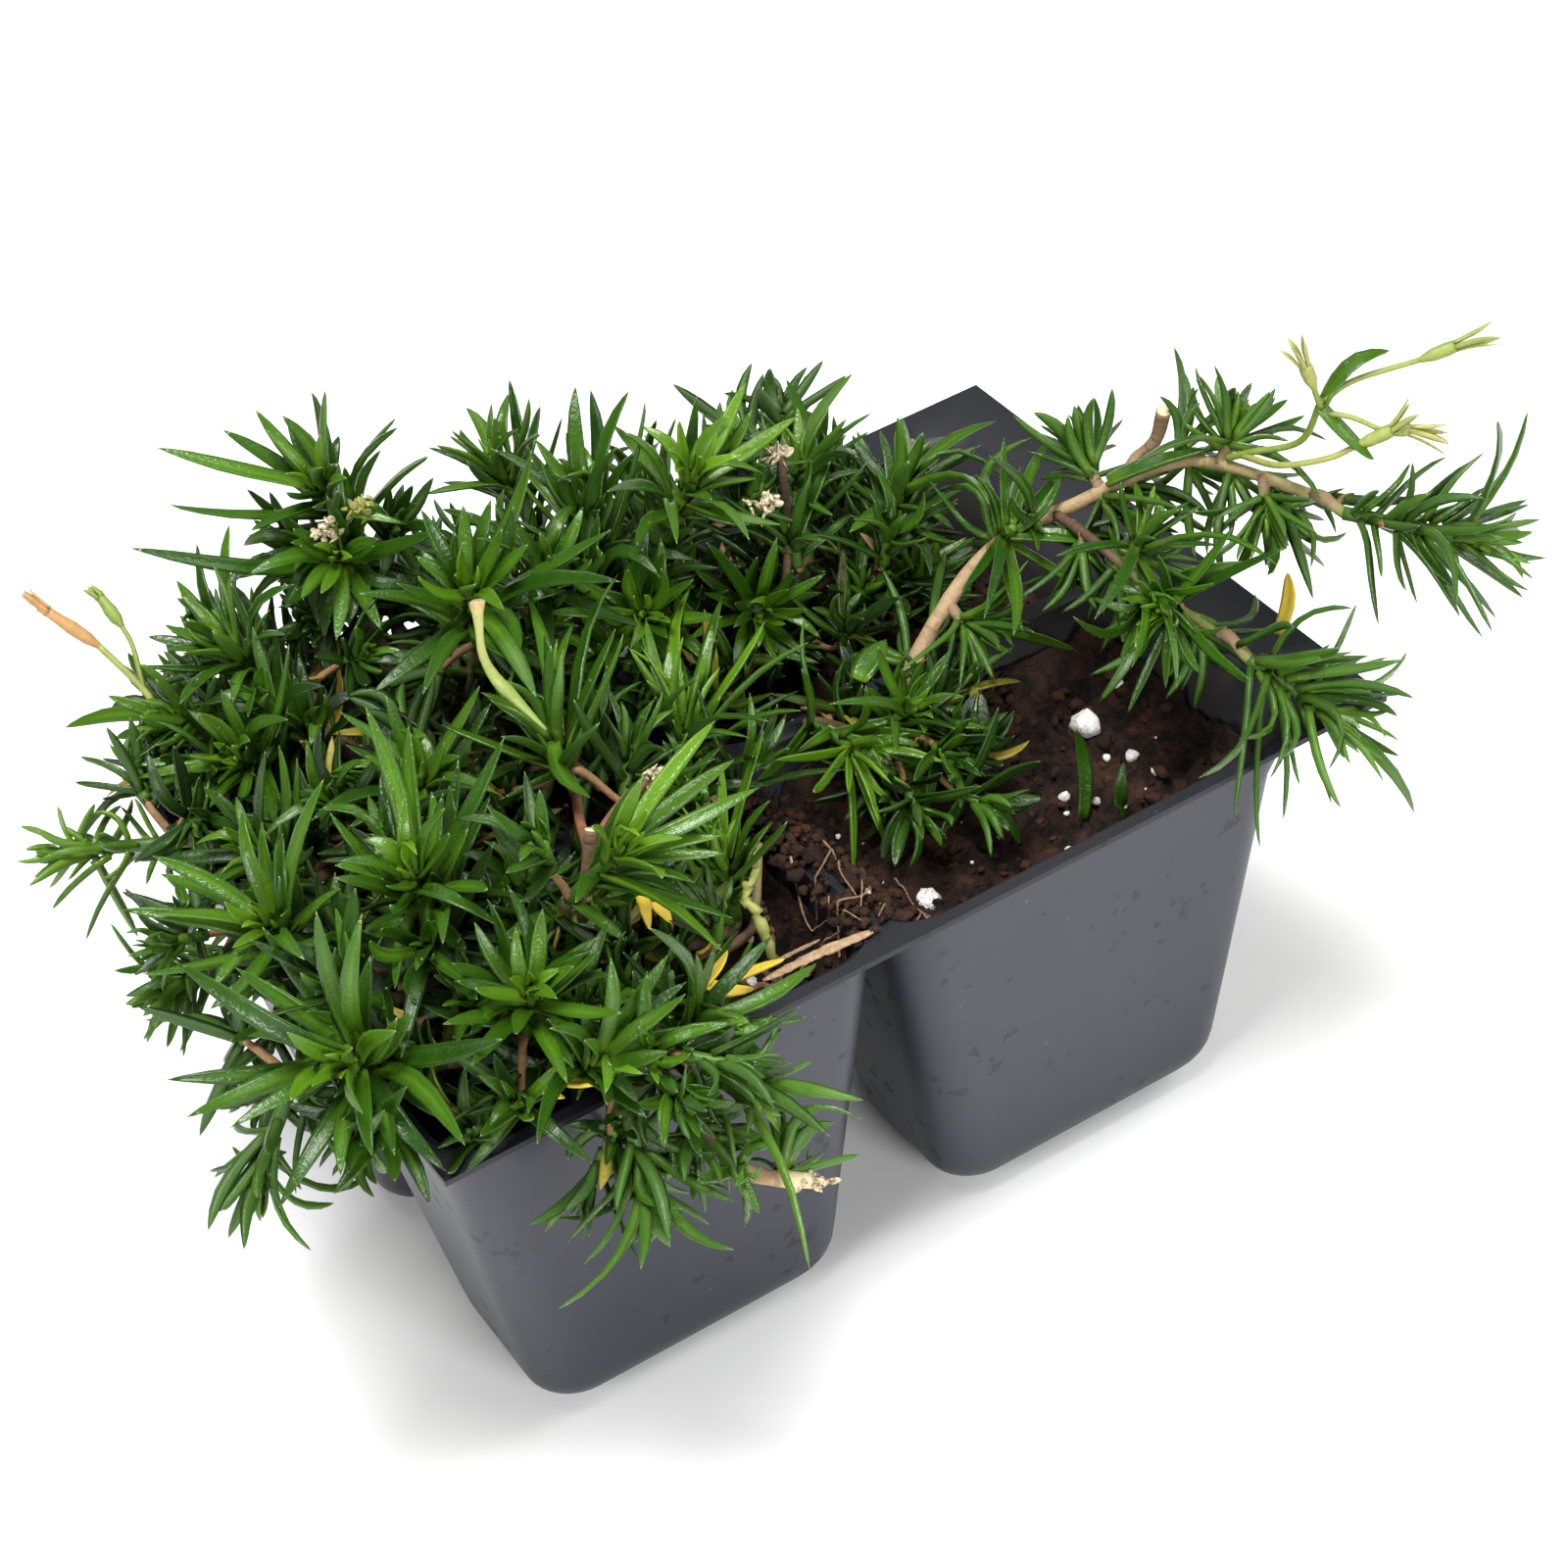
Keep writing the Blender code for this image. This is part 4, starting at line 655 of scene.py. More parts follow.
# Stems with a route of their own: plant, thickness at each end, and the points they pass
ROUTES = {
    "long_stem": ("front_right", 1.45, 0.85, [(18, -12, 52.5), (20, -7, 58), (26, -4, 64),
                                              (38, -2, 71), (50, -7, 76), (58, -12, 80),
                                              (62, -19, 82), (66.5, -31.5, 82)]),
    "side_stem": ("front_right", 1.0, 0.8, [(46, -5.5, 74.5), (46, -14, 75), (47, -23, 73),
                                            (50.5, -33, 69.5)]),
    "cut_stub": ("front_right", 1.0, 1.2, [(54, -9, 78), (57, -8, 79.5), (59, -9.5, 82),
                                            (59.5, -11, 87)]),
    "forked_stem": ("front_left", 1.2, 1.3, [(-34, -20, 53), (-36.5, -25, 63), (-35, -26, 72),
                                             (-32.5, -24.5, 78)]),
    "fork_back_arm": ("front_left", 1.1, 0.9, [(-33.2, -24.8, 75.5), (-31, -18, 74), (-28, -11, 72)]),
    "fork_front_arm": ("front_left", 0.9, 1.2, [(-33.4, -24.8, 75.5), (-28, -24, 79), (-23.5, -24, 81)]),
    "creeping_twig": ("front_left", 1.1, 0.8, [(-34, -20, 52.8), (-25, -27, 54), (-16, -26.5, 53.5),
                                                (-13.5, -25, 56.5), (-10, -21, 61)]),
    "trimmed_stem": ("front_left", 1.2, 1.5, [(-34, -20, 53.5), (-40, -34, 63), (-40.5, -46, 64.5),
                                               (-37.5, -54, 54), (-35, -57, 49.5), (-29, -61, 47.5)]),
    "browned_stem": ("back_right", 1.0, 0.9, [(19, 24, 53.5), (17, 16, 64), (19.5, 17, 74),
                                              (20.5, 18.5, 83)]),
}


def branch_path(start, end, way, count):
    """A woody branch: out of the crown, over what lies between, and in line with its shoot."""
    start, end = np.asarray(start, float), np.asarray(end, float)
    span = end - start
    far = np.linalg.norm(span)
    first = start + np.array([span[0], span[1], 0]) * 0.35 + UP * (0.45 * abs(span[2]) + 0.1 * far)
    second = end - way * far * 0.3
    t = np.linspace(0, 1, count)[:, None]
    return (start * (1 - t) ** 3 + first * 3 * t * (1 - t) ** 2
            + second * 3 * t ** 2 * (1 - t) + end * t ** 3)


# Each plant's shoots in turn: the point that the branch leaves from (none for the crown), the tip,
# the way it points (azimuth and rise), the length of its green stem, its leaves' length and width,
# how far they open from the stem, and the leaves seen from the front as clock hour and length
GROWN = {
    "front_left": (
        (None, (-69, -12, 76), (200, 60), 14, (17, 2.6), 58,
         "10.3:16 11.7:14 1.0:18 4.3:7 9.5:17 8.6:15 6.9:7"),
        (None, (-54, -22, 82), (235, 72), 15, (17, 2.6), 55,
         "11.8:20 12:19 1.4:19 2:9 3.7:11 5.1:8 9.4:8 10.5:12 5.6:8"),
        (None, (-70, -33, 70), (225, 40), 13, (19, 3.0), 62,
         "10.4:22 10.6:16 11.9:17 0.5:17 1.9:9 2.9:19 4.3:16 5.3:11 6.4:12 7.2:17 8.7:19 9.2:20 11:8"),
        (None, (-82, -25, 52), (195, -50), 13, (11, 2.0), 50,
         "10:5 6.4:8 5.4:11 3.7:11 4.4:9 10.9:6 7.6:8"),
        ((-28, -11, 72), (-27.5, -6, 79), (85, 62), 6, (17, 2.6), 50,
         "11.9:19 0.7:22 0.4:15 1.3:15 1.7:15 10.7:11 7.5:9 5.2:9"),
        (None, (-33, -34, 82), (305, 50), 13, (16, 2.4), 60,
         "2.5:17 2:17 1.5:19 3:12 4.6:16 4.1:9 3.9:15 0.9:10 7.4:8"),
        (None, (-50, -41, 75), (265, 62), 13, (15, 2.4), 58,
         "0.5:10 9.9:8 3.6:11 1.9:10 7.6:9 8.8:9 5.3:9 11.6:12"),
        (None, (-46, -49, 68), (285, 35), 12, (15, 2.3), 58,
         "0.2:13 1.4:14 2.6:11 10.6:9 7.5:9 3.7:9 4.9:8"),
        (None, (-32, -47, 64), (308, 32), 8, (15, 2.2), 56,
         "2.4:15 1.6:13 11.7:12 0.8:9 4.7:9 6.7:8 3.3:12"),
        (None, (-46.5, -54.5, 50), (253, -58), 13, (13, 2.2), 62,
         "8.3:12 7.3:16 6.2:9 5.4:7 4.5:13 9.9:9 11.6:11 1.2:9"),
        (None, (-31, -53, 57), (320, -28), 9, (13, 2.2), 60,
         "5.4:21 3.3:12 1.5:8 3.9:11 0.5:9 10.6:8 6.4:13"),
        (None, (-16, -23, 65), (75, 78), 10, (12, 1.6), 35, "0.3:11 0.9:16 0.7:9 11.6:9 2.2:9"),
        (None, (-47, -12, 70), (120, 70), 10, (15, 2.4), 60, "1.2:12 10.8:12 3.2:10 8.4:10"),
        (None, (-10, -5, 70), (55, 60), 8, (18, 2.2), 42,
         "0.2:20 0.8:18 1.9:19 1.5:17 3:17 2.6:14 11.5:17 3.9:9"),
    ),
    "back_left": (
        (None, (-31, 46, 88), (205, 68), 15, (16, 2.6), 58,
         "9.7:21 10.3:15 11.3:11 0.2:13 1.8:13 2.3:13 8.9:19 1.3:9 2.9:15"),
        (None, (-34, 37, 83), (245, 40), 12, (13, 2.6), 60,
         "6.2:11 5.2:11 2.9:14 8.9:11 9.4:24 7.7:9 1.6:8"),
        (None, (-51, 37, 78), (150, 62), 13, (15, 2.4), 52, "11.5:15 0.2:16 2.8:8 9.6:11 5.6:9 7.4:9"),
        (None, (-61, 35, 72), (170, 25), 12, (14, 2.4), 58, "9.2:16 8.8:10 10.9:12 7.5:8 2:8"),
        (None, (-25, 17, 85), (255, 65), 14, (18, 2.8), 60,
         "5.1:21 1.2:19 0.7:12 10.5:8 2.5:19 3.2:19 5:10 6.9:13 9.2:13 11.8:8"),
        (None, (-57, 25, 70), (205, 48), 12, (15, 2.4), 58, "9:13 1.3:16 11.8:9 8.2:9 5:10 6.8:9"),
        (None, (-80, 33, 62), (150, 2), 15, (10, 1.7), 60,
         "11.6:6 0.7:6 1.4:7 1.9:9 7.7:6 6.9:8 6.3:11 5.4:13"),
        (None, (-80, 2, 60), (185, -8), 12, (11, 2.0), 56, "11.1:10 10.1:7 6.5:7 7.4:7 5.2:8"),
        (None, (-6, 48, 78), (110, 62), 14, (15, 2.2), 50, "11.4:12 10.8:9 1.9:7 3.3:10 1.2:10 0.4:13"),
        (None, (-48, 48, 70), (130, 35), 12, (16, 2.4), 58, "11:9 0.4:10 9:9"),
        (None, (-20, 49, 67), (95, 28), 12, (16, 2.4), 58, "0.5:8 11.2:8"),
        (None, (-42, 3, 73), (225, 72), 11, (16, 2.4), 62, "1.4:14 3.4:13 8.6:13 10.6:13 5.9:10"),
        (None, (-63, 8, 69), (190, 48), 11, (15, 2.2), 60, "9.3:12 0.6:13 3:11 7.4:10 11:11"),
    ),
    "back_right": (
        (None, (-4, 26, 82), (100, 84), 13, (18, 2.8), 34, "0.1:17 0.8:17 1.2:16 11.1:12 1.9:11 10.2:9"),
        (None, (8, 18, 86), (300, 64), 14, (15, 2.4), 58,
         "1.2:14 1.6:12 1.9:16 3.4:8 4.3:13 5.1:13 6.4:13 8.7:17 10.4:10 0.4:11"),
        (None, (-5, 12, 74), (250, 45), 11, (14, 2.4), 60, "9.3:12 10.2:11 7.4:9 5.2:11 3.5:10 0.9:8"),
        (None, (26, 25, 76), (60, 62), 13, (16, 2.4), 56,
         "1.3:15 0.1:14 2.1:12 2.9:9 5.2:8 7.8:10 10.9:10"),
        (None, (37, 17, 72), (20, 55), 13, (16, 2.6), 58, "2.1:16 3.6:12 0.9:9 7.9:9 5.1:11 11.2:10"),
        (None, (12, 14, 64), (262, 32), 8, (13, 1.9), 58, "11.1:11 0.8:10 2.3:10 6.6:8 4.6:8 8.6:9"),
        (None, (36, 12, 61), (335, 38), 9, (12, 1.9), 58, "10.6:10 0.9:9 2.4:9 4.1:9 7.6:8 9:9"),
        (None, (12, 41, 69), (85, 48), 12, (15, 2.2), 56, "11:9 0.4:10 2:8"),
        (None, (34, 37, 65), (55, 42), 11, (14, 2.0), 56, "0.8:9 2.6:8 11:8"),
    ),
    "front_right": (
        (None, (8, -17, 63), (285, 0), 9, (16, 1.7), 60,
         "9:10 7.7:17 6.4:16 5.7:17 5.1:16 4.8:15 4.1:17 4.4:20 3.6:20 3.2:14 11.2:11"),
        (None, (17, -15, 64), (290, 45), 7, (11, 1.8), 58, "11.4:9 9.5:10 1.4:9 3.7:10 4.8:10 7:9"),
        ((37.6, -2.1, 70.8), (39.6, -5.2, 75.4), (300, 52), 3, (15, 1.7), 62,
         "1.2:16 1.7:13 3.1:21 3.4:19 6.1:16 6.6:11 12:10"),
        ((30, -3.2, 66.3), (31.4, -7.1, 63.5), (290, -35), 3, (14, 1.7), 60,
         "6.7:14 5.2:14 4.8:16 4.4:18 3.6:20 5.8:12 1.9:10 7.8:10"),
        ((46.6, -20, 74), (49.2, -19.8, 78), (5, 58), 3, (14, 1.6), 58,
         "2.7:12 3.2:17 1.5:10 5.6:15 7:14 6.2:12 9.4:9"),
        ((48.5, -28, 71.4), (44.8, -29.3, 74), (200, 32), 3, (12, 1.6), 62,
         "1.2:10 6.8:10 6.2:10 5.2:11 8.9:8 10.4:9 2.6:11"),
        ((50.5, -33, 69.5), (57, -47, 61.5), (300, -30), 12.5, (17, 1.8), 56,
         "3.1:20 3.8:21 3.5:16 4.3:16 4.8:16 5.3:15 5.9:16 6.4:16 6.8:20 7.2:18 7.8:18 2.4:10 1.5:8"),
        ((66.5, -31.5, 82), (78.5, -49, 79), (308, -6), 17, (16, 1.8), 52,
         "1:13 1.6:17 2.1:15 2.7:14 3.2:13 3.8:15 4.7:15 5.4:15 6.5:13 7.3:10 11.6:8 4.2:12"),
        ((64, -25, 82), (62.6, -28.2, 78.4), (250, -44), 3, (12, 1.6), 60,
         "4.7:14 4.2:10 5.7:11 3.5:10 7.7:8 6.6:11 8.4:10"),
        ((51.5, -7.6, 76.8), (52.3, -2.8, 80), (80, 34), 4, (12, 1.8), 46,
         "10.8:12 11.3:9 0.1:11 1:9 2.2:11 9.6:7"),
        ((62, -19, 82), (65.2, -17.9, 85.6), (20, 48), 3, (13, 1.8), 50,
         "1.5:11 2.3:13 0.9:8 3.2:8 4:12 9:12 10.8:7"),
    ),
}
SHOOTS = {f"{plant}_{k}": (plant, *row) for plant, rows in GROWN.items()
          for k, row in enumerate(rows, 1)}

# How far behind the tip the clock hours of a long shoot are counted from
HEARTS = {"front_right_7": 6.0, "front_right_8": 7.0, "back_left_7": 2.0, "front_left_10": 3.0,
          **{f"front_right_{k}": 5.0 for k in (3, 4, 5, 6, 9, 10, 11)}}
# Shoots that bear leaves down their whole stem
TRAILING = ("front_right_7", "front_right_8", "back_left_7")


def branch_start(name):
    """Where a shoot's branch leaves from: a point on another stem, or the head of its plant's trunk."""
    plant, start = SHOOTS[name][:2]
    return start or (*CROWNS[plant], TRUNK_HEAD - 2.0)


def shoot_foot(name):
    """The lower end of a shoot's green stem, and the way it points."""
    tip, way, length = SHOOTS[name][2:5]
    return np.array(tip, float) - heading(*way) * length, heading(*way)


def bark():
    """Bark by its kind: 0 rough and brown, 1 tan and smooth, 2 a fresh cut, 3 browned; all with fibres."""
    f = Finish("phlox bark")
    kind = f.attribute("kind")
    along = f.attribute("along")
    patch = f.noise(3.0, 3.0, 0.6)
    flake = f.noise(0.9, 3.0, 0.65)
    ring = f.node("TexNoise", {"noise_dimensions": "1D"}, {"W": along * 0.55, "Scale": 1.0, "Detail": 2.0})
    brown = f.mix(patch, (0.024, 0.011, 0.006), (0.085, 0.038, 0.018))
    tan = f.layers(f.mix(flake, (0.20, 0.120, 0.052), (0.44, 0.315, 0.175)),
                   (patch.ramp(0.5, 0.72) * 0.55, (0.17, 0.085, 0.035)),
                   (ring.ramp(0.6, 0.7) * 0.45, (0.20, 0.12, 0.05)))
    cut = f.mix(flake, (0.36, 0.27, 0.13), (0.72, 0.64, 0.42))
    red = f.mix(patch, (0.10, 0.035, 0.016), (0.27, 0.115, 0.05))
    green = f.mix(patch, (0.07, 0.11, 0.012), (0.20, 0.20, 0.05))
    base = f.layers(brown, (kind.ramp(0.1, 0.9), tan), (kind.ramp(1.4, 1.6), cut),
                    (kind.ramp(2.4, 2.6), red), (f.attribute("fresh").ramp(0.0, 1.0), green))
    normal = f.bump(flake + patch * 0.5 + ring.ramp(0.55, 0.7) * 0.3, 0.22)
    return f.done(base_color=base, roughness=0.55 + 0.3 * flake, normal=normal)


# Each such stem's kind of bark at its foot and at its end, how green its end still is, its girth
# beside the solid's, and whether its end is a fresh cut
BARK_KIND = {"long_stem": (0.7, 1.0, 0.5, 0.85, False), "side_stem": (0.25, 0.1, 1.6, 0.7, False),
             "cut_stub": (0.6, 0.5, 0.0, 0.75, True), "forked_stem": (0.1, 0.4, 0.0, 0.66, True),
             "fork_back_arm": (3.0, 3.0, 0.0, 0.66, False), "fork_front_arm": (3.0, 3.0, 0.0, 0.66, True),
             "creeping_twig": (0.1, 0.7, 0.6, 0.7, False), "trimmed_stem": (-3.2, 1.9, 0.0, 0.66, True),
             "browned_stem": (0.3, 0.2, 0.0, 0.66, True)}
# The first three of these for branches that leave the crown, and for those that leave another stem
BRANCH_KIND, SIDE_BRANCH_KIND = (0.05, 0.12, 0.5), (0.5, 0.6, 1.0)


def add_stem(wood, path, radii, kind, end_kind, fresh=0.0, slim=1.0, cut=False, sides=9):
    """Adds a stem whose girth swells at random knots, and a pale disc where it was cut."""
    length = np.concatenate([[0], np.cumsum(np.linalg.norm(np.diff(path, axis=0), axis=1))])
    knots = 1 + 0.12 * lattice_noise(length, np.full(len(path), path[0].sum()), 1.6)
    radii = slim * np.asarray(radii) * (knots if len(path) > 6 else 1.0)
    kinds = np.clip(np.linspace(kind, end_kind, len(path)), 0, None)
    green = fresh * np.linspace(-0.6, 1, len(path)).clip(0)
    marks = np.stack([kinds, length + 7.0 * path[0, 0], green], axis=-1)
    wood.add_tube(tube(path, radii, sides), np.repeat(marks, sides, axis=0))
    if cut:
        way = unit(path[-1] - path[-2])
        disc = np.stack([path[-1] - way * 0.25, path[-1] + way * 0.12])
        wood.add_tube(tube(disc, [radii[-1] * 0.99, radii[-1] * 0.86], sides), (2.0, 0.0, 0.0))


bark_finish = bark()
for plant, crown in CROWNS.items():
    wood = Parts()
    trunk = smooth_path([(*crown, z) for z in (TRUNK_FOOT, SOIL_TOP, TRUNK_HEAD)], 9)
    girth = TRUNK_RADIUS * np.interp(np.arange(9), [0, 4, 8], TRUNK_GIRTH)
    add_stem(wood, trunk, girth, 0.1, 0.1, sides=12)
    for name, (owner, thick, thin, points) in ROUTES.items():
        if owner == plant:
            path = smooth_path(points, 7 * len(points))
            add_stem(wood, path, np.linspace(thick, thin, len(path)), *BARK_KIND[name])
    for name, (owner, start, *rest) in SHOOTS.items():
        if owner == plant:
            foot, way = shoot_foot(name)
            path = branch_path(branch_start(name), foot + way * 0.5, way, 15)
            radii = np.linspace(SIDE_BRANCH_RADIUS if start else BRANCH_RADIUS, 0.8, 15)
            add_stem(wood, path, radii, *(SIDE_BRANCH_KIND if start else BRANCH_KIND), sides=7)
    points, faces, marks = wood.arrays()
    piece("stems_" + plant, points, faces, bark_finish, "stem_wood", ["woody_stems_" + plant],
          kind=marks[:, 0], along=marks[:, 1], fresh=marks[:, 2])


# The faded flower stalks: thin green stalks whose flowers have dropped, each with a swollen calyx
# that ends in five sharp teeth.  The young ones are green, and those that ripen turn straw yellow.
LEAF_THICKNESS = 0.8
LONGEST_LEAF = 26.0
# A leaf over this length has two rings between its root and its tip, and a shorter one has one
LONG_LEAF = 15.5
# The keel's width beside the blade's
KEEL_SHARE = 0.35
# Flower stalks, the flowers fallen and the calyxes left: each has its stalks, as routes with a
# thickness, and its calyxes, as the neck, the mouth and the tips' middle
STALKS = {
    "flower_stalks_right": (
        [(0.6, [(62.3, -20.2, 83.4), (63.5, -23.5, 85.5), (67, -29, 88.5), (68, -32, 95.6)]),
         (0.5, [(68, -31.8, 94.6), (67.2, -32.2, 96.5), (66.8, -32.2, 98)]),
         (0.5, [(67.9, -31.8, 94.8), (72, -33, 97), (80, -36, 98)]),
         (0.45, [(67.9, -31.4, 93.6), (70.5, -34.5, 93.2), (73, -37, 91.5)]),
         (0.55, [(63, -22.2, 84.6), (63.5, -29, 86.5), (67, -34, 88.5), (70, -36, 90)])],
        [(66.8, -32.2, 98), (65.6, -32, 102), (64.6, -31.6, 105)],
        [(80, -36, 98), (84, -38, 99.3), (88, -40.5, 100.5)],
        [(73, -37, 91.5), (76, -39, 91.2), (79, -42, 90)],
        [(70, -36, 90), (74, -38.5, 92), (76.5, -39.5, 94)]),
    "flower_stalks_left": (
        [(0.6, [(-61.9, 35.2, 72.5), (-62.3, 38.5, 75.5), (-65, 43, 81)]),
         (0.45, [(-62.3, 38.2, 75.2), (-61, 42.5, 79), (-61, 45, 81)])],
        [(-65, 43, 81), (-68, 45.5, 85), (-71, 48, 89.5)],
        [(-61, 45, 81), (-61.5, 47.5, 83), (-62.5, 50, 85)]),
}
# The pair of broad leaves at the right stalks' fork: root and tip
STALK_LEAVES = (((68, -32, 95.2), (77, -34, 100.8)), ((68, -31.8, 94.8), (70.5, -39, 89.5)))
STALK_LEAF_WIDTH = 3.2
CALYX_TEETH, TOOTH_WIDTH = 5, 0.9
# A calyx's rings: how far from neck to mouth, and the radius
CALYX_RINGS = ((-0.12, 0.35), (0.3, 1.1), (0.72, 1.25), (1.0, 0.85))


class Skin:
    """Points and faces of one solid, put together ring by ring."""

    def __init__(self):
        self.points = []
        self.faces = []

    def ring(self, points):
        """Adds a ring of points and returns their numbers."""
        start = len(self.points)
        self.points.extend(np.asarray(points, float).tolist())
        return list(range(start, len(self.points)))

    def bands(self, rings):
        """Joins each ring to the next, each four-sided face split the same way in two."""
        for a, b in zip(rings, rings[1:]):
            for k in range(len(a)):
                n = (k + 1) % len(a)
                self.faces += [[a[k], a[n], b[n]], [a[k], b[n], b[k]]]

    def fan(self, ring, apex):
        """Joins a ring to one point."""
        n = len(ring)
        self.faces.extend([ring[k], ring[(k + 1) % n], apex] for k in range(n))

    def cap(self, ring):
        """Closes a ring with one face."""
        self.faces.append(list(ring))


def frames_along(run, axis):
    """The sideways and upward directions of a blade that runs this way, its upper face to axis."""
    run = run / np.linalg.norm(run, axis=-1)[..., None]
    up = axis + 0.15 * UP + 0.03 * EYE_RIGHT - np.zeros_like(run)
    up = up - np.sum(up * run, axis=-1)[..., None] * run
    up = up / np.linalg.norm(up, axis=-1)[..., None]
    return np.cross(run, up), up


class Leaf:
    """One leaf: a bowed midline from its root to its tip, and the way its upper face looks."""

    def __init__(self, root, tip, axis, width):
        self.root = np.asarray(root, float)
        self.reach = np.asarray(tip, float) - self.root
        self.length = float(np.linalg.norm(self.reach))
        along = self.reach / self.length
        lift = across(0.65 * axis + 0.35 * UP + 0.02 * EYE_RIGHT, along)
        self.bow = lift * self.length * 0.085
        self.axis = axis
        self.width = width

    def middle(self, t):
        """Points on the midline: the straight reach plus a parabola of the bow's height."""
        t = np.asarray(t, float)[:, None]
        return self.root + self.reach * t + self.bow * 4 * t * (1 - t)

    def frames(self, t):
        """The sideways and upward directions of the blade at each t, square to the midline's slope."""
        return frames_along(self.reach + self.bow * 4 * (1 - 2 * np.asarray(t, float)[:, None]), self.axis)

    def half_width(self, t):
        """A lance shape: narrow at the root, widest before the middle, drawn out to the tip."""
        t = np.asarray(t, float)
        return self.width / 2 * (0.63 + 1.5 * t) * (1 - t ** 1.8)

    def rings(self, stations, grow=0.0):
        """Four corners of the blade at each station: a wide flat top and a narrow keel below."""
        t = np.asarray(stations, float)
        side, up = self.frames(t)
        centre = self.middle(t)
        half = (self.half_width(t) + grow)[:, None]
        top = centre + up * grow
        keel = centre - up * (LEAF_THICKNESS * (1 - 0.25 * t[:, None]) + grow)
        low = KEEL_SHARE * half
        corners = [top + side * half, top - side * half, keel - side * low, keel + side * low]
        return np.stack(corners, axis=1)

    def blade(self, grow=0.0, start=0.0):
        """The leaf from start on as a closed four-sided blade with one point at its tip."""
        skin = Skin()
        rings = [skin.ring(ring) for ring in self.rings((start,) + self.stations(), grow)]
        skin.bands(rings)
        skin.cap(rings[0])
        end = self.middle([1.0])[0] + self.reach / self.length * grow
        skin.fan(rings[-1], skin.ring([end])[0])
        return np.array(skin.points), skin.faces

    def stations(self):
        """One ring on a short leaf and two on a long one, between its root and its tip."""
        return (0.3, 0.68) if self.length > LONG_LEAF else (0.42,)


def split(faces):
    """The faces left, those of four corners as two triangles."""
    out = []
    for face in faces:
        if face and len(face) == 4:
            out += [face[:3], [face[0], face[2], face[3]]]
        elif face:
            out.append(face)
    return out


def draw_out(skin, upper, lower, leaf):
    """Draws a leaf out of the hole between two upper and two lower corners."""
    side = leaf.frames([0.15])[0][0]
    upper = sorted(upper, key=lambda k: -float(np.dot(skin.points[k], side)))
    lower = sorted(lower, key=lambda k: float(np.dot(skin.points[k], side)))
    rings = [upper + lower] + [skin.ring(ring) for ring in leaf.rings(leaf.stations())]
    skin.bands(rings)
    skin.fan(rings[-1], skin.ring([leaf.middle([1.0])[0]])[0])


def tube_skin(path, radii, sides, end_way=None):
    """A stem's surface as triangles, for keeping leaves clear of it."""
    skin = Skin()
    path = np.asarray(path, float)
    run = np.gradient(path, axis=0)
    if end_way is not None:
        run[-1] = end_way
    run = run / np.linalg.norm(run, axis=1)[:, None]
    side = across(ASKEW, run[0])
    rings = []
    for p, d, r in zip(path, run, radii):
        side = across(side, d)
        rings.append(skin.ring(p + r * circle(side, d, sides)))
    skin.bands(rings)
    skin.cap(rings[0])
    skin.cap(rings[-1])
    return np.array(skin.points), skin.faces


def calyx(neck, mouth, tips):
    """A calyx: a cup that swells and closes again, its last band drawn out to a tooth on each side."""
    along = unit(mouth - neck)
    out = circle(across(EYE_UP, along), along, CALYX_TEETH)
    skin = Skin()
    rings = [skin.ring(neck + (mouth - neck) * share + out * radius) for share, radius in CALYX_RINGS]
    skin.bands(rings[:-1])
    skin.cap(rings[0])
    skin.cap(rings[-1])
    for k in range(CALYX_TEETH):
        n = (k + 1) % CALYX_TEETH
        upper, lower = [rings[-1][k], rings[-1][n]], [rings[-2][k], rings[-2][n]]
        root = np.mean([skin.points[i] for i in upper + lower], axis=0)
        away = unit(out[k] + out[n])
        draw_out(skin, upper, lower, Leaf(root, tips + away * 2.0, 0.3 * along - away, TOOTH_WIDTH))
    return np.array(skin.points), skin.faces


def stalk_pieces(name):
    """The stalks, calyxes and broad leaves of one group of flower stalks."""
    routes, *calyxes = STALKS[name]
    pieces = []
    for radius, points in routes:
        count = len(points)
        radii = np.linspace(radius, 0.9 * radius, count)
        pieces.append(tube_skin(smooth_path(points, count), radii, 4))
    pieces += [calyx(*points) for points in np.array(calyxes, float)]
    if name == "flower_stalks_right":
        for root, tip in STALK_LEAVES:
            pieces.append(Leaf(root, tip, UP, STALK_LEAF_WIDTH).blade())
    return pieces


# A blade's stations from root to tip; round it run the right edge, its swollen half, the midrib's
# groove, the left half and edge, and three points of the underside: half-widths across, shares of
# the groove's depth, and shares of the blade's thickness
ALONG = np.array([0.0, 0.12, 0.28, 0.46, 0.64, 0.82, 0.93])
ACROSS = np.array([1.0, 0.55, 0.0, -0.55, -1.0, -0.6, 0.0, 0.6])
GROOVE = np.array([0.2, -0.1, 1.0, -0.1, 0.2, 0.6, 1.0, 0.6])
BELLY = np.array([0.0, 0.0, 0.0, 0.0, 0.0, 0.85, 1.0, 0.85])
ROUND = len(ACROSS)
# The groove's depth, least and most, beside the blade's half width
FOLD = (0.2, 0.5)
# The mark across of an underside and of a round stem
UNDER = 2.0


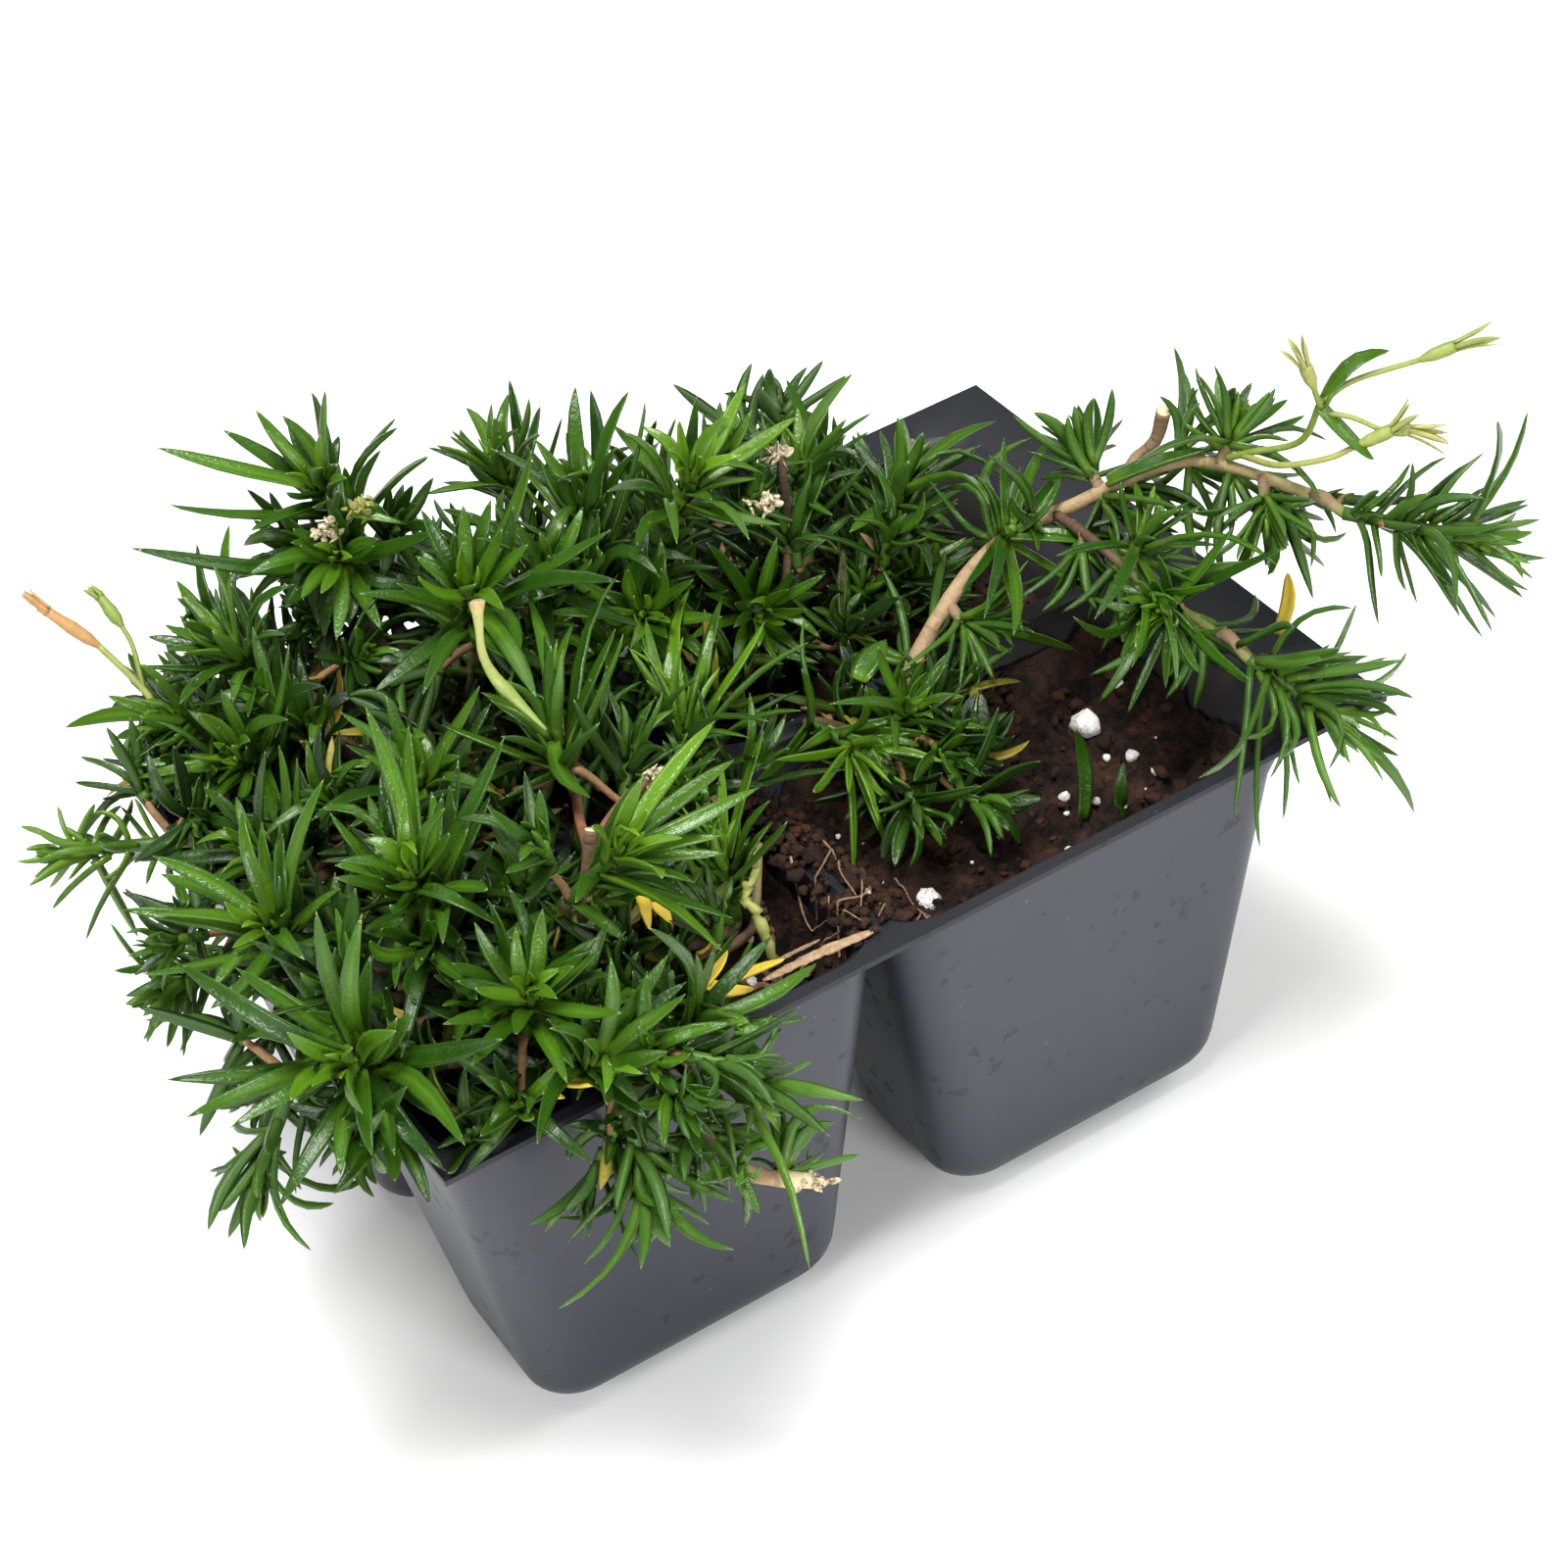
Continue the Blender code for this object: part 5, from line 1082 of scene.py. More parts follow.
def blades(leaves, tones, ages, draw, sway=0.6, thickness=0.6):
    """Adds up leaves as folded blades: points, faces and marks.

    A point at t along and s across is the bowed midline, plus s half-widths sideways, less a groove
    that is a share of the half-width, less the blade's own thickness underneath.  Broad leaves are
    lance shaped; narrow ones keep their width almost to the tip.
    """
    n, m = len(leaves), len(ALONG)
    root, reach, bow, axis, width = [np.array([getattr(leaf, name) for leaf in leaves])[:, None]
                                     for name in ("root", "reach", "bow", "axis", "width")]
    bow = bow * draw.normal(0.65, 0.8 * sway, (n, 1, 1))
    length = np.linalg.norm(reach, axis=2)
    t = np.concatenate([ALONG, [1.0]])[None, :, None]
    side, up = frames_along(reach + bow * 4 * (1 - 2 * t), axis)
    twist = draw.normal(0, 0.35, (n, 1, 1)) * t
    up, side = up * np.cos(twist) + side * np.sin(twist), side * np.cos(twist) - up * np.sin(twist)
    bend = draw.normal(0, sway, (n, 1)) * length / 15
    hook = draw.normal(-0.2, 1.4, (n, 1)) * sway * length / 15
    middle = root + reach * t + bow * 4 * t * (1 - t)
    middle = middle + side * (bend * np.sin(math.pi * t[..., 0]))[..., None]
    middle = middle + up * (hook * np.clip(t[..., 0] - 0.45, 0, 1) ** 2 * 3.3)[..., None]
    s = ALONG[None]
    lance = (0.63 + 1.5 * s) * (1 - s ** 1.8)
    linear = (0.72 + 0.75 * s - 0.55 * s ** 2) * (1 - s ** 4.2) ** 0.85
    narrow = np.clip((3.8 - width) / 0.9, 0.2, 1)
    slim = 1 - 0.13 * np.clip((width - 1.8) / 0.8, 0, 1)
    half = slim * width / 2 * (lance * (1 - narrow) + linear * narrow)
    groove = draw.uniform(*FOLD, (n, 1)) * half * (1 - 0.3 * s)
    depth = thickness * (1 - 0.45 * s) * np.minimum(1, half / 0.4)
    lift = -GROOVE * groove[..., None] - BELLY * depth[..., None]
    ring = middle[:, :m, None] + side[:, :m, None] * (ACROSS * half[..., None])[..., None]
    ring = ring + up[:, :m, None] * lift[..., None]
    points = np.concatenate([ring.reshape(n, m * ROUND, 3), middle[:, m:]], axis=1)
    step = points.shape[1]
    start = np.arange(n)[:, None, None] * step
    foot = [list(range(ROUND))[::-1]]
    fan = [[step - 1 - ROUND + k, step - 1 - ROUND + (k + 1) % ROUND, step - 1] for k in range(ROUND)]
    every = []
    for faces in (foot, grid_faces(m, ROUND), fan):
        every += (start + np.array(faces)).reshape(-1, len(faces[0])).tolist()
    spot = np.zeros((n, step, 4))
    spot[..., 0] = np.append(np.repeat(ALONG, ROUND), 1.0)
    spot[..., 1] = np.append(np.tile(np.where(BELLY > 0, UNDER, ACROSS), m), 0.0)
    spot[..., 2], spot[..., 3] = np.asarray(tones)[:, None], np.asarray(ages)[:, None]
    return points.reshape(-1, 3), every, spot.reshape(-1, 4)


def leaf_green():
    """Leaf finish by its marks: how far along and across, a tone, and an age.

    Age 0 is young and yellowish, 1 full grown and dark, a dark green that is partly painted shade for leaves
    deep in the plant, 2 withered yellow and 3 dry and brown.
    """
    f = Finish("phlox leaf")
    along, side, tone = [f.attribute("spot", part) for part in range(3)]
    age = f.attribute("age")
    mottle = f.noise(4.0, 3.0, 0.6)
    streak = f.noise(0.5, 2.0, 0.6)
    young = f.mix(mottle, (0.050, 0.130, 0.004), (0.115, 0.230, 0.010))
    grown = f.mix(tone, (0.009, 0.038, 0.0015), (0.038, 0.104, 0.004))
    grown = f.mix(mottle.ramp(0.35, 0.75) * 0.5, grown, (0.022, 0.070, 0.003))
    # The darkest green, for leaves deep in the plant, is partly their age and partly painted shade
    old = f.mix(tone, (0.0045, 0.018, 0.001), (0.012, 0.040, 0.002))
    pale_foot = (1.0 - along.ramp(0.0, 0.3)) * (1.0 - age.ramp(0.3, 1.0)) * 0.5
    rib = (1.0 - abs(side).ramp(0.0, 0.5)) * (1.0 - along.ramp(0.6, 0.95)) * tone.ramp(0.2, 1.0)
    edge = 1.0 - abs(abs(side) - 1.0).ramp(0.0, 0.14)
    under = abs(side).ramp(1.15, 1.7)
    yellow = f.mix(mottle, (0.50, 0.36, 0.03), (0.66, 0.50, 0.06))
    dry = f.mix(streak, (0.11, 0.05, 0.02), (0.36, 0.22, 0.10))
    base = f.layers(young, (age.ramp(0.0, 0.42), grown), (age.ramp(0.62, 1.0), old),
                    (pale_foot, (0.13, 0.23, 0.02)), (rib * 0.55, (0.085, 0.185, 0.014)),
                    (edge * 0.3, (0.10, 0.20, 0.035)), (under * 0.4, (0.055, 0.13, 0.018)),
                    (along.ramp(0.965, 1.0) * 0.6, (0.42, 0.45, 0.22)),
                    (age.ramp(1.4, 1.9), yellow), (age.ramp(2.3, 2.8), dry))
    rough = 0.17 + 0.13 * mottle + 0.2 * under + 0.15 * age.ramp(0.6, 1.1) + 0.25 * age.ramp(1.4, 2.6)
    normal = f.bump(f.noise(0.55, 2.0, 0.6), 0.10)
    return f.done(base_color=base, roughness=rough, normal=normal, specular_ior_level=0.33)


leaf_finish = leaf_green()


def stalk_straw():
    """Stalks by age: 0 yellow green, 0.5 pale yellow, 1 orange tan, 2 dry paper; paler at the tips."""
    f = Finish("phlox stalk")
    age, along = f.attribute("age"), f.attribute("spot", 0)
    blotch = f.noise(2.0, 3.0, 0.6)
    green = f.mix(blotch, (0.085, 0.150, 0.014), (0.185, 0.250, 0.035))
    pale = f.mix(blotch, (0.19, 0.21, 0.040), (0.36, 0.35, 0.10))
    tan = f.mix(blotch, (0.28, 0.125, 0.035), (0.44, 0.25, 0.085))
    fibre = f.noise(0.45, 2.0, 0.6)
    paper = f.mix(fibre.ramp(0.3, 0.7), (0.20, 0.125, 0.055), (0.62, 0.56, 0.38))
    base = f.layers(green, (age.ramp(0.05, 0.5), pale), (age.ramp(0.6, 1.0), tan),
                    (along.ramp(0.55, 1.0) * 0.35, (0.40, 0.38, 0.18)),
                    (fibre.ramp(0.45, 0.75) * 0.35, (0.10, 0.14, 0.02)), (age.ramp(1.2, 1.8), paper))
    return f.done(base_color=base, roughness=0.42 + 0.2 * blotch, normal=f.bump(f.noise(0.6, 2.0), 0.08))


stalk_finish = stalk_straw()


def leafy_piece(name, mesh, nodes=(), finish=leaf_finish):
    """A piece of leaves and green stems from what was gathered."""
    points, faces, marks = mesh.arrays()
    piece(name, points, faces, finish, "leaf_green", nodes, spot=marks[:, :3], age=marks[:, 3])


# How ripe each stalk and each calyx is, in the order of the table above
RIPENESS = {"flower_stalks_right": ((0.1, 0.25, 0.2, 0.3, 0.35), (0.42, 0.2, 0.5, 0.3)),
            "flower_stalks_left": ((0.3, 0.1), (1.0, 0.12))}
# The share of their way at which a calyx's sepals come free of its cup, and how far they spread:
# the right ones are free from the mouth on, like a star
SEPALS = {"flower_stalks_right": (-0.12, 1.6), "flower_stalks_left": (0.35, 0.8)}
# The cup of a calyx: how far from neck to mouth, and the radius
CUP = ((-0.12, 0.35), (0.3, 1.05), (0.72, 1.15), (1.0, 0.95), (1.35, 0.82), (1.6, 0.9))
CALYX_SLIMMING = 0.78


def calyx_cup(neck, mouth, end):
    """A swollen cup from neck towards the mouth, up to a share end, its radii eased between rings."""
    share, radius = np.array(CUP).T
    fine = np.linspace(share[0], end, 13)
    path = neck + (mouth - neck) * fine[:, None]
    return tube(path, CALYX_SLIMMING * np.interp(fine, share, radius), 10)


for name, (routes, *calyxes) in STALKS.items():
    draw = np.random.default_rng(len(name))
    stalk_ages, calyx_ages = RIPENESS[name]
    group = Parts()
    for (radius, points), age in zip(routes, stalk_ages):
        path = smooth_path(points, 6 * len(points))
        radii = 0.8 * np.linspace(radius, 0.9 * radius, len(path))
        group.add_tube(tube(path, radii, 8), (0.5, UNDER, 0.8, age))
    joined, spread = SEPALS[name]
    for (neck, mouth, tips), age in zip(np.array(calyxes, float), calyx_ages):
        group.add_tube(calyx_cup(neck, mouth, 1.08 + 1.4 * joined), (0.5, UNDER, 0.9, age))
        along = unit(mouth - neck)
        teeth = [Leaf(mouth + (mouth - neck) * joined + way * 0.5,
                      tips + way * spread * draw.uniform(0.8, 1.5) + draw.normal(0, 0.2, 3),
                      0.3 * along - way, TOOTH_WIDTH)
                 for way in circle(across(EYE_UP, along), along, CALYX_TEETH, 0.5)]
        tones, ages = [0.9] * CALYX_TEETH, [age] * CALYX_TEETH
        group.add(*blades(teeth, tones, ages, draw, sway=0.1, thickness=0.25))
    leafy_piece("faded_" + name, group, [name], stalk_finish)
pair = [Leaf(root, tip, UP, STALK_LEAF_WIDTH) for root, tip in STALK_LEAVES]
bracts = Parts()
bracts.add(*blades(pair, [0.6, 0.8], [0.4, 0.35], np.random.default_rng(3)))
leafy_piece("stalk_leaf_pair", bracts)


# The leafy shoots: at the end of each branch a short green stem bears narrow pointed leaves in pairs,
# folded along the midrib, glossy and stiff.  The newest stand close together at the tip and are
# yellowish; the lower ones open wide and darken, partly with age and partly by painted shade, and
# at last hang on the stem as brown husks.
LEAVES_PER_SHOOT = 12
LEAVES_IF_HIDDEN = 10
# How far a leaf stays from all that has grown before it
CLEARANCE = 0.36


def stiff_wall_inset(z):
    """How far the solid's wall stands in: the same taper, and a plainer rounding at its foot."""
    rounding = np.interp(z, (0.0, 2.0, 5.0, FOOT_HEIGHT), (FOOT_ROUNDING, 1.6, 0.4, 0.0))
    return CELL_TAPER * (PACK_Z - z) / PACK_Z - SHEET + float(rounding)


class Growth:
    """What has grown so far, for keeping each new leaf clear of the rest."""

    def __init__(self):
        self.pieces = []

    def add(self, owner, points, faces):
        """Notes a piece's surface, its owner and its box."""
        points = np.asarray(points)
        tree = BVHTree.FromPolygons(points.tolist(), faces)
        self.pieces.append((owner, points.min(axis=0), points.max(axis=0), tree))

    def meets(self, owner, points, faces):
        """Whether this surface cuts any noted piece of another owner."""
        low, high = points.min(axis=0), points.max(axis=0)
        tree = BVHTree.FromPolygons(points.tolist(), faces)
        return any(tree.overlap(other) for whose, a, b, other in self.pieces
                   if whose != owner and not (np.any(a > high) or np.any(b < low)))


def in_pack_or_soil(points):
    """Whether any point is in the rim, a wall or the soil, or too near them."""
    x, y, z = points.T
    near = (z < PACK_Z + 0.7) & (abs(x) < PACK_X / 2 + 0.6) & (abs(y) < PACK_Y / 2 + 0.6)
    if not near.any():
        return False
    x, y, z = x[near], y[near], z[near]
    inset = np.array([stiff_wall_inset(min(height, PACK_Z)) for height in z]) + SHEET + 0.7
    free = np.zeros(len(x), bool)
    for cx in CELL_LEFT:
        for cy in CELL_FRONT:
            dx = abs(x - cx - CELL_X / 2) - CELL_X / 2 + inset + CELL_CORNER
            dy = abs(y - cy - CELL_Y / 2) - CELL_Y / 2 + inset + CELL_CORNER
            corner = np.hypot(np.maximum(dx, 0), np.maximum(dy, 0)) + np.minimum(np.maximum(dx, dy), 0)
            free |= corner < CELL_CORNER
    return bool(np.any(~free | (z < soil_height(x, y) + 0.8)))


def seen_direction(hour, axis, opening):
    """The direction that shows at this clock hour and opens by this angle from the shoot's axis."""
    a = math.radians(30.0 * hour)
    flat = math.cos(a) * EYE_UP + math.sin(a) * EYE_RIGHT
    p, q = np.dot(flat, axis), np.dot(TO_EYE, axis)
    middle = math.atan2(q, p)
    swing = math.acos(max(-1.0, min(1.0, math.cos(math.radians(opening)) / math.hypot(p, q))))
    choices = [w for w in (middle - swing, middle + swing) if abs(w) < math.radians(75)]
    tilt = min(choices, key=abs) if choices else math.copysign(math.radians(50), middle)
    return math.cos(tilt) * flat + math.sin(tilt) * TO_EYE, math.cos(tilt)


class Shoot:
    """A leafy shoot: a green stem whose side faces are the sockets that its leaves grow from."""

    def __init__(self, name):
        plant, start, tip, way, stem, size, self.opening, self.hours = SHOOTS[name]
        self.name, self.plant, self.start, self.stem = name, plant, start, stem
        self.axis = heading(*way)
        self.tip = np.array(tip, float)
        self.foot = self.tip - self.axis * stem
        self.size, self.width = size
        self.wanted = LEAVES_PER_SHOOT if self.hours.count(":") > 3 else LEAVES_IF_HIDDEN
        self.leaves, self.crowded_out, self.sockets = [], [], []
        self.skin = Skin()
        self.make_stem()

    def make_stem(self):
        """Rings down the stem, closest in its leafy part, and a socket for each face between them."""
        rows = 3 if self.stem < 9 else 6
        pitch = (self.stem - 0.8) / rows
        if self.name not in TRAILING:
            pitch = min(1.6, pitch)
        backs = [0.6 + pitch * k for k in range(rows + 1)]
        if self.stem - backs[-1] > 1.0:
            backs.append(self.stem)
        backs[-1] = self.stem
        out = circle(across(ASKEW, self.axis), self.axis, STEM_SIDES)
        thick = [min(0.75 + 0.04 * back, 0.95) for back in backs]
        rings = [self.skin.ring(self.tip - self.axis * back + out * r) for back, r in zip(backs, thick)]
        self.skin.fan(rings[0], self.skin.ring([self.tip + self.axis * 0.5])[0])
        for row in range(len(rings) - 1):
            upper, lower = rings[row], rings[row + 1]
            for k in range(STEM_SIDES):
                n = (k + 1) % STEM_SIDES
                if row < rows:
                    place = (backs[row] + backs[row + 1]) / 2
                    self.sockets.append((len(self.skin.faces), unit(out[k] + out[n]), place))
                self.skin.faces.append([upper[k], upper[n], lower[n], lower[k]])
        self.skin.cap(rings[-1])

    def socket_centre(self, face):
        """The middle of a stem face."""
        return np.mean([self.skin.points[k] for k in self.skin.faces[face]], axis=0)

    def best_sockets(self, way, back):
        """The free sockets that face a leaf's way best, near its wanted place down the stem."""
        flat = across(way + 1e-6 * EYE_UP, self.axis)
        cost = [(math.acos(max(-1.0, min(1.0, float(flat @ out)))) + 0.22 * abs(place - back), face)
                for face, out, place in self.sockets]
        return [face for c, face in sorted(cost)[:3] if c < 1.5]

    def crosses_itself(self, leaf, face):
        """Whether the leaf would cut itself, or its shoot anywhere but at the corners it grows from."""
        corners = self.skin.faces[face]
        skin = Skin()
        skin.ring([self.skin.points[k] for k in corners])
        draw_out(skin, [0, 1], [2, 3], leaf)
        blade = BVHTree.FromPolygons(skin.points, skin.faces)
        if any(not set(skin.faces[a]) & set(skin.faces[b]) for a, b in blade.overlap(blade)):
            return True
        own = split(f for k, f in enumerate(self.skin.faces) if k != face)
        tree = BVHTree.FromPolygons(self.skin.points, own)
        for a, b in blade.overlap(tree):
            if not {corners[k] for k in skin.faces[a] if k < 4} & set(own[b]):
                return True
        points, faces = leaf.blade(0.12, 0.25)
        return bool(BVHTree.FromPolygons(points.tolist(), faces).overlap(tree))

    def attach(self, leaf, face):
        """Grows the leaf out of its socket."""
        corners = self.skin.faces[face]
        self.skin.faces[face] = None
        draw_out(self.skin, corners[:2], corners[2:], leaf)
        self.sockets = [socket for socket in self.sockets if socket[0] != face]
        self.leaves.append(leaf)

    def seen_leaves(self):
        """The ends of the leaves listed by clock hour, with their widths and places down the stem."""
        heart = self.tip - self.axis * HEARTS.get(self.name, 1.5)
        entries = [tuple(map(float, entry.split(":"))) for entry in self.hours.split()]
        pitch = min(0.85, (self.stem - 1.5) / len(entries))
        for k, (hour, seen) in enumerate(entries):
            way, share = seen_direction(hour, self.axis, self.opening)
            length = min(seen / max(share, 0.45), LONGEST_LEAF)
            breadth = self.width * (0.82 + 0.18 * min(length / self.size, 1.2))
            yield 1.2 + pitch * k, heart + way * length, breadth

    def filling_leaf(self, number, draw):
        """A leaf of an opposite pair: each pair a quarter turn on, opening more the lower it stands."""
        pair = number // 2
        turn = math.pi * (number % 2) + math.pi / 2 * pair + draw.uniform(-0.5, 0.5) + self.opening
        out = turned(self.axis, turn)
        open_by = math.radians(min(self.opening - 22 + 9 * pair + draw.uniform(-8, 8), 82))
        way = math.cos(open_by) * self.axis + math.sin(open_by) * out
        length = self.size * min(0.62 + 0.1 * pair, 0.95) * draw.uniform(0.85, 1.1)
        back = 1.2 + min(1.5 * pair, self.stem - 1.6)
        return back, self.tip - self.axis * back + way * length, self.width * draw.uniform(0.8, 1.0)


def clear_of_pack(leaf, start, count, drop):
    """Whether a leaf stays out of pack and soil at both edges and drop below its midline."""
    fine = np.linspace(start, 1.0, count)
    side, up = leaf.frames(fine)
    centre = leaf.middle(fine)
    half = leaf.half_width(fine)[:, None]
    edges = [centre + side * half, centre - side * half, centre - up * drop]
    return not in_pack_or_soil(np.concatenate(edges))


def place_leaf(growth, shoot, back, end, width, draw):
    """Grows a leaf where it is clear, bending or shortening it a little if need be; else none."""
    start = shoot.tip - shoot.axis * back
    reach = np.linalg.norm(end - start)
    for attempt in range(8):
        shifted = draw.normal(size=3) * reach * 0.045 * attempt
        aim = start + (end - start) * (1 - 0.02 * attempt) + shifted
        for face in shoot.best_sockets(aim - start, back):
            leaf = Leaf(shoot.socket_centre(face), aim, shoot.axis, width)
            clear = clear_of_pack(leaf, 0.12, 9, 1.0) and not growth.meets(shoot.name, *leaf.blade(CLEARANCE))
            if clear and not shoot.crosses_itself(leaf, face):
                shoot.attach(leaf, face)
                growth.add(shoot.name, *leaf.blade())
                return True
    return False


def wood_skins():
    """The plain shape of every woody stem, a little thickened, with its plant's name."""
    for plant, (x, y) in CROWNS.items():
        trunk = [(x, y, z) for z in (TRUNK_FOOT, SOIL_TOP, TRUNK_HEAD)]
        parts = [(trunk, [TRUNK_RADIUS * share for share in TRUNK_GIRTH], 6, UP)]
        for owner, thick, thin, points in ROUTES.values():
            if owner == plant:
                count = len(points) + 2
                radii = np.linspace(thick, thin, count)
                parts.append((smooth_path(points, count), radii, STEM_SIDES, None))
        for name, (owner, start, *rest) in SHOOTS.items():
            if owner == plant:
                foot, way = shoot_foot(name)
                path = branch_path(branch_start(name), foot - way * FIT_GAP, way, 3 if start else 4)
                radii = np.linspace(SIDE_BRANCH_RADIUS if start else BRANCH_RADIUS, 0.85, len(path))
                parts.append((path, radii, 4, way))
        for path, radii, sides, end_way in parts:
            yield plant, tube_skin(path, np.array(radii) + 0.1, sides, end_way)


def grow_leaves():
    """Leaves seen from the front first, each clear of all before it, and then filling leaves."""
    growth = Growth()
    shoots = [Shoot(name) for name in SHOOTS]
    for plant, (points, faces) in wood_skins():
        growth.add(plant, points, faces)
    for name in STALKS:
        for points, faces in stalk_pieces(name):
            growth.add(name, points, faces)
    for shoot in shoots:
        growth.add(shoot.name, shoot.skin.points, shoot.skin.faces)
    draw = np.random.default_rng(11)
    for shoot in shoots:
        for back, end, width in shoot.seen_leaves():
            if not place_leaf(growth, shoot, back, end, width, draw):
                start = shoot.tip - shoot.axis * back
                root = start + unit(end - start) * 0.6
                shoot.crowded_out.append(Leaf(root, end, shoot.axis, width))
    for number in range(2 * LEAVES_PER_SHOOT):
        for shoot in shoots:
            if len(shoot.leaves) < shoot.wanted:
                place_leaf(growth, shoot, *shoot.filling_leaf(number, draw), draw)
    return shoots


shoots = grow_leaves()

GOLDEN_TURN = math.radians(137.5)


def blade_from(shoot, back, turn, opening, length, width, draw, start=None, axis=None):
    """A leaf from its place down the stem, its turn round it and how far it opens from it."""
    axis = shoot.axis if axis is None else axis
    start = shoot.tip - shoot.axis * back if start is None else start
    out = turned(axis, turn)
    way = math.cos(math.radians(opening)) * axis + math.sin(math.radians(opening)) * out
    root = start + out * 0.5
    leaf = Leaf(root, root + way * length, unit(axis + draw.normal(0, 0.16, 3)), width)
    leaf.bow = leaf.bow * draw.uniform(0.2, 2.0) + np.cross(leaf.bow, way) * draw.normal(0, 0.5)
    return leaf


def more_leaves(shoot, draw, fillers, olds, age):
    """The leaves between the solid ones: young ones at the tip, fillers, and old ones down the branch.

    Each comes with its tone and its age; the shoot's own age is added to all but the dry ones.
    """
    trailing = shoot.name in TRAILING
    phase = draw.uniform(0, math.pi)
    for k in range(6):
        pair = k // 2
        turn = phase + math.pi / 2 * pair + math.pi * (k % 2) + draw.uniform(-0.2, 0.2)
        opening = 9 + 11 * pair + draw.uniform(-6, 8)
        length = shoot.size * (0.26 + 0.15 * pair) * draw.uniform(0.8, 1.15)
        leaf = blade_from(shoot, 0.35 * pair, turn, opening, length, shoot.width * (0.5 + 0.14 * pair), draw)
        yield leaf, draw.random(), age + 0.10 * pair + draw.uniform(0, 0.12)
    if trailing:
        fillers = 30 if shoot.size > 12 else 12
    small = 0.7 if shoot.size <= 11 and shoot.name else 1.0
    for k in range(fillers):
        share = (k // 2 + draw.uniform(0, 0.6)) / (fillers / 2)
        turn = phase + math.pi / 2 * (k // 2 + 3) + math.pi * (k % 2) + draw.uniform(-0.35, 0.35)
        back = 0.8 + share * (shoot.stem - 1.4 if trailing else min(5.5, shoot.stem - 1.2))
        opening = min(shoot.opening, 58) - 22 + 40 * share + draw.uniform(-12, 12)
        length = small * shoot.size * draw.uniform(0.5, 1.0) * (0.7 + 0.3 * min(share * 2.5, 1))
        width = shoot.width * draw.uniform(0.8, 1.05) * small ** 0.5
        leaf = blade_from(shoot, back, turn, opening, length, width, draw)
        # A filler's age, and so its darkness, rises the lower it stands: partly real age and partly painted
        # shade
        yield leaf, draw.random(), age + 0.25 + 0.45 * share + draw.uniform(-0.12, 0.18)
    branch = branch_path(shoot.origin, shoot.foot, shoot.axis, 24)[::-1]
    down = np.cumsum(np.linalg.norm(np.diff(branch, axis=0), axis=1))
    for k in range(olds):
        share = (k + draw.uniform(0, 0.8)) / olds
        back = 5.0 + share * 15.0
        start, axis = None, None
        if back > shoot.stem:
            at = min(int(np.searchsorted(down, back - shoot.stem)), len(down) - 1)
            if down[at] > 0.6 * down[-1]:
                continue
            start, axis = branch[at], unit(branch[at] - branch[at + 1])
        turn = GOLDEN_TURN * k * 1.7 + draw.uniform(-0.7, 0.7)
        opening = 55 + 30 * share + draw.uniform(-14, 14)
        length = shoot.size * draw.uniform(0.45, 0.85)
        dry = draw.random() < 0.03 + 0.08 * share
        # Old leaves down the branch are dark partly with age and partly by painted shade
        leaf_age = draw.uniform(2.6, 3.0) if dry else min(age + 0.7 + 0.3 * share, 1.15)
        width = shoot.width * draw.uniform(0.75, 1.0)
        if dry:
            length, width = 0.4 * length, 0.6 * width
        leaf = blade_from(shoot, back, turn, opening, length, width, draw, start, axis)
        yield leaf, draw.random(), leaf_age


# The whole model's own box, which no added leaf may leave
BOX_X, BOX_Y, BOX_Z = (-89.5, 89.0), (-77.0, 60.5), (1.0, 104.0)


def in_box(point, margin):
    """Whether a point is inside the whole model's own size, margin from its edges."""
    return all(low + margin < v < high - margin for v, (low, high) in zip(point, (BOX_X, BOX_Y, BOX_Z)))


# Leaves that have withered yellow or dried brown, some still hanging on: root, tip, width and age
LOOSE = (((-28.4, -38.2, 62), (-24.4, -44.1, 62.4), 2.2, 2.0),
         ((-29.7, -39.6, 62), (-23.8, -37.6, 62.6), 2.0, 2.0),
         ((-28.4, -26.6, 68), (-31.2, -33.4, 68), 2.0, 2.0),
         ((-52.2, -43.2, 64), (-51, -46.9, 63.5), 1.9, 2.0),
         ((61.8, -29.7, 61.5), (64.4, -29.3, 70.5), 2.6, 2.05),
         ((51.2, -9.4, 79.5), (61.8, -17.4, 83.2), 4.4, 0.45),
         ((-63, -29.3, 66), (-58, -28.0, 67), 1.6, 2.9), ((8.8, -0.9, 60), (10.2, -6.5, 61), 1.8, 2.8),
         ((8.5, -11.5, 61), (10.4, -14.2, 60), 1.5, 2.7), ((12.6, -9.4, 67.5), (18.6, -6.8, 69), 4.6, 0.4),
         ((29.6, -31.7, 50), (31.4, -28.0, 62), 2.2, 0.7), ((33.6, -34.5, 50), (35.4, -33.0, 57), 1.8, 0.8),
         ((-47, -38, 62), (-43, -43, 64), 1.4, 2.9), ((-22, -30, 58), (-26, -33, 61), 1.8, 2.0),
         ((-24, -38, 59.5), (-18, -40, 60.5), 2.1, 2.0), ((-28.3, -25.7, 67), (-27.5, -31.5, 65.5), 2.2, 2.0),
         ((-49.5, -44.5, 63.5), (-45.6, -47.9, 64), 1.8, 2.0),
         ((-42.8, -44, 65.5), (-41, -47.5, 66), 1.6, 2.0))
# The bare crooked twig by the front rim, and the peeled strip that stands up among the shoots
CROOKED = ((-16.2, -33.1, 54), (-16.4, -30.4, 60), (-16.7, -28.9, 61), (-14.8, -28.4, 63.5),
           (-13.5, -27.3, 66))
STRIP = ((-28.1, 7.6, 90), (-30.2, 3, 90.4), (-32.4, -2, 90.2), (-33.2, -6.6, 89.8), (-32.4, -9.6, 88),
         (-31.4, -14.5, 86))
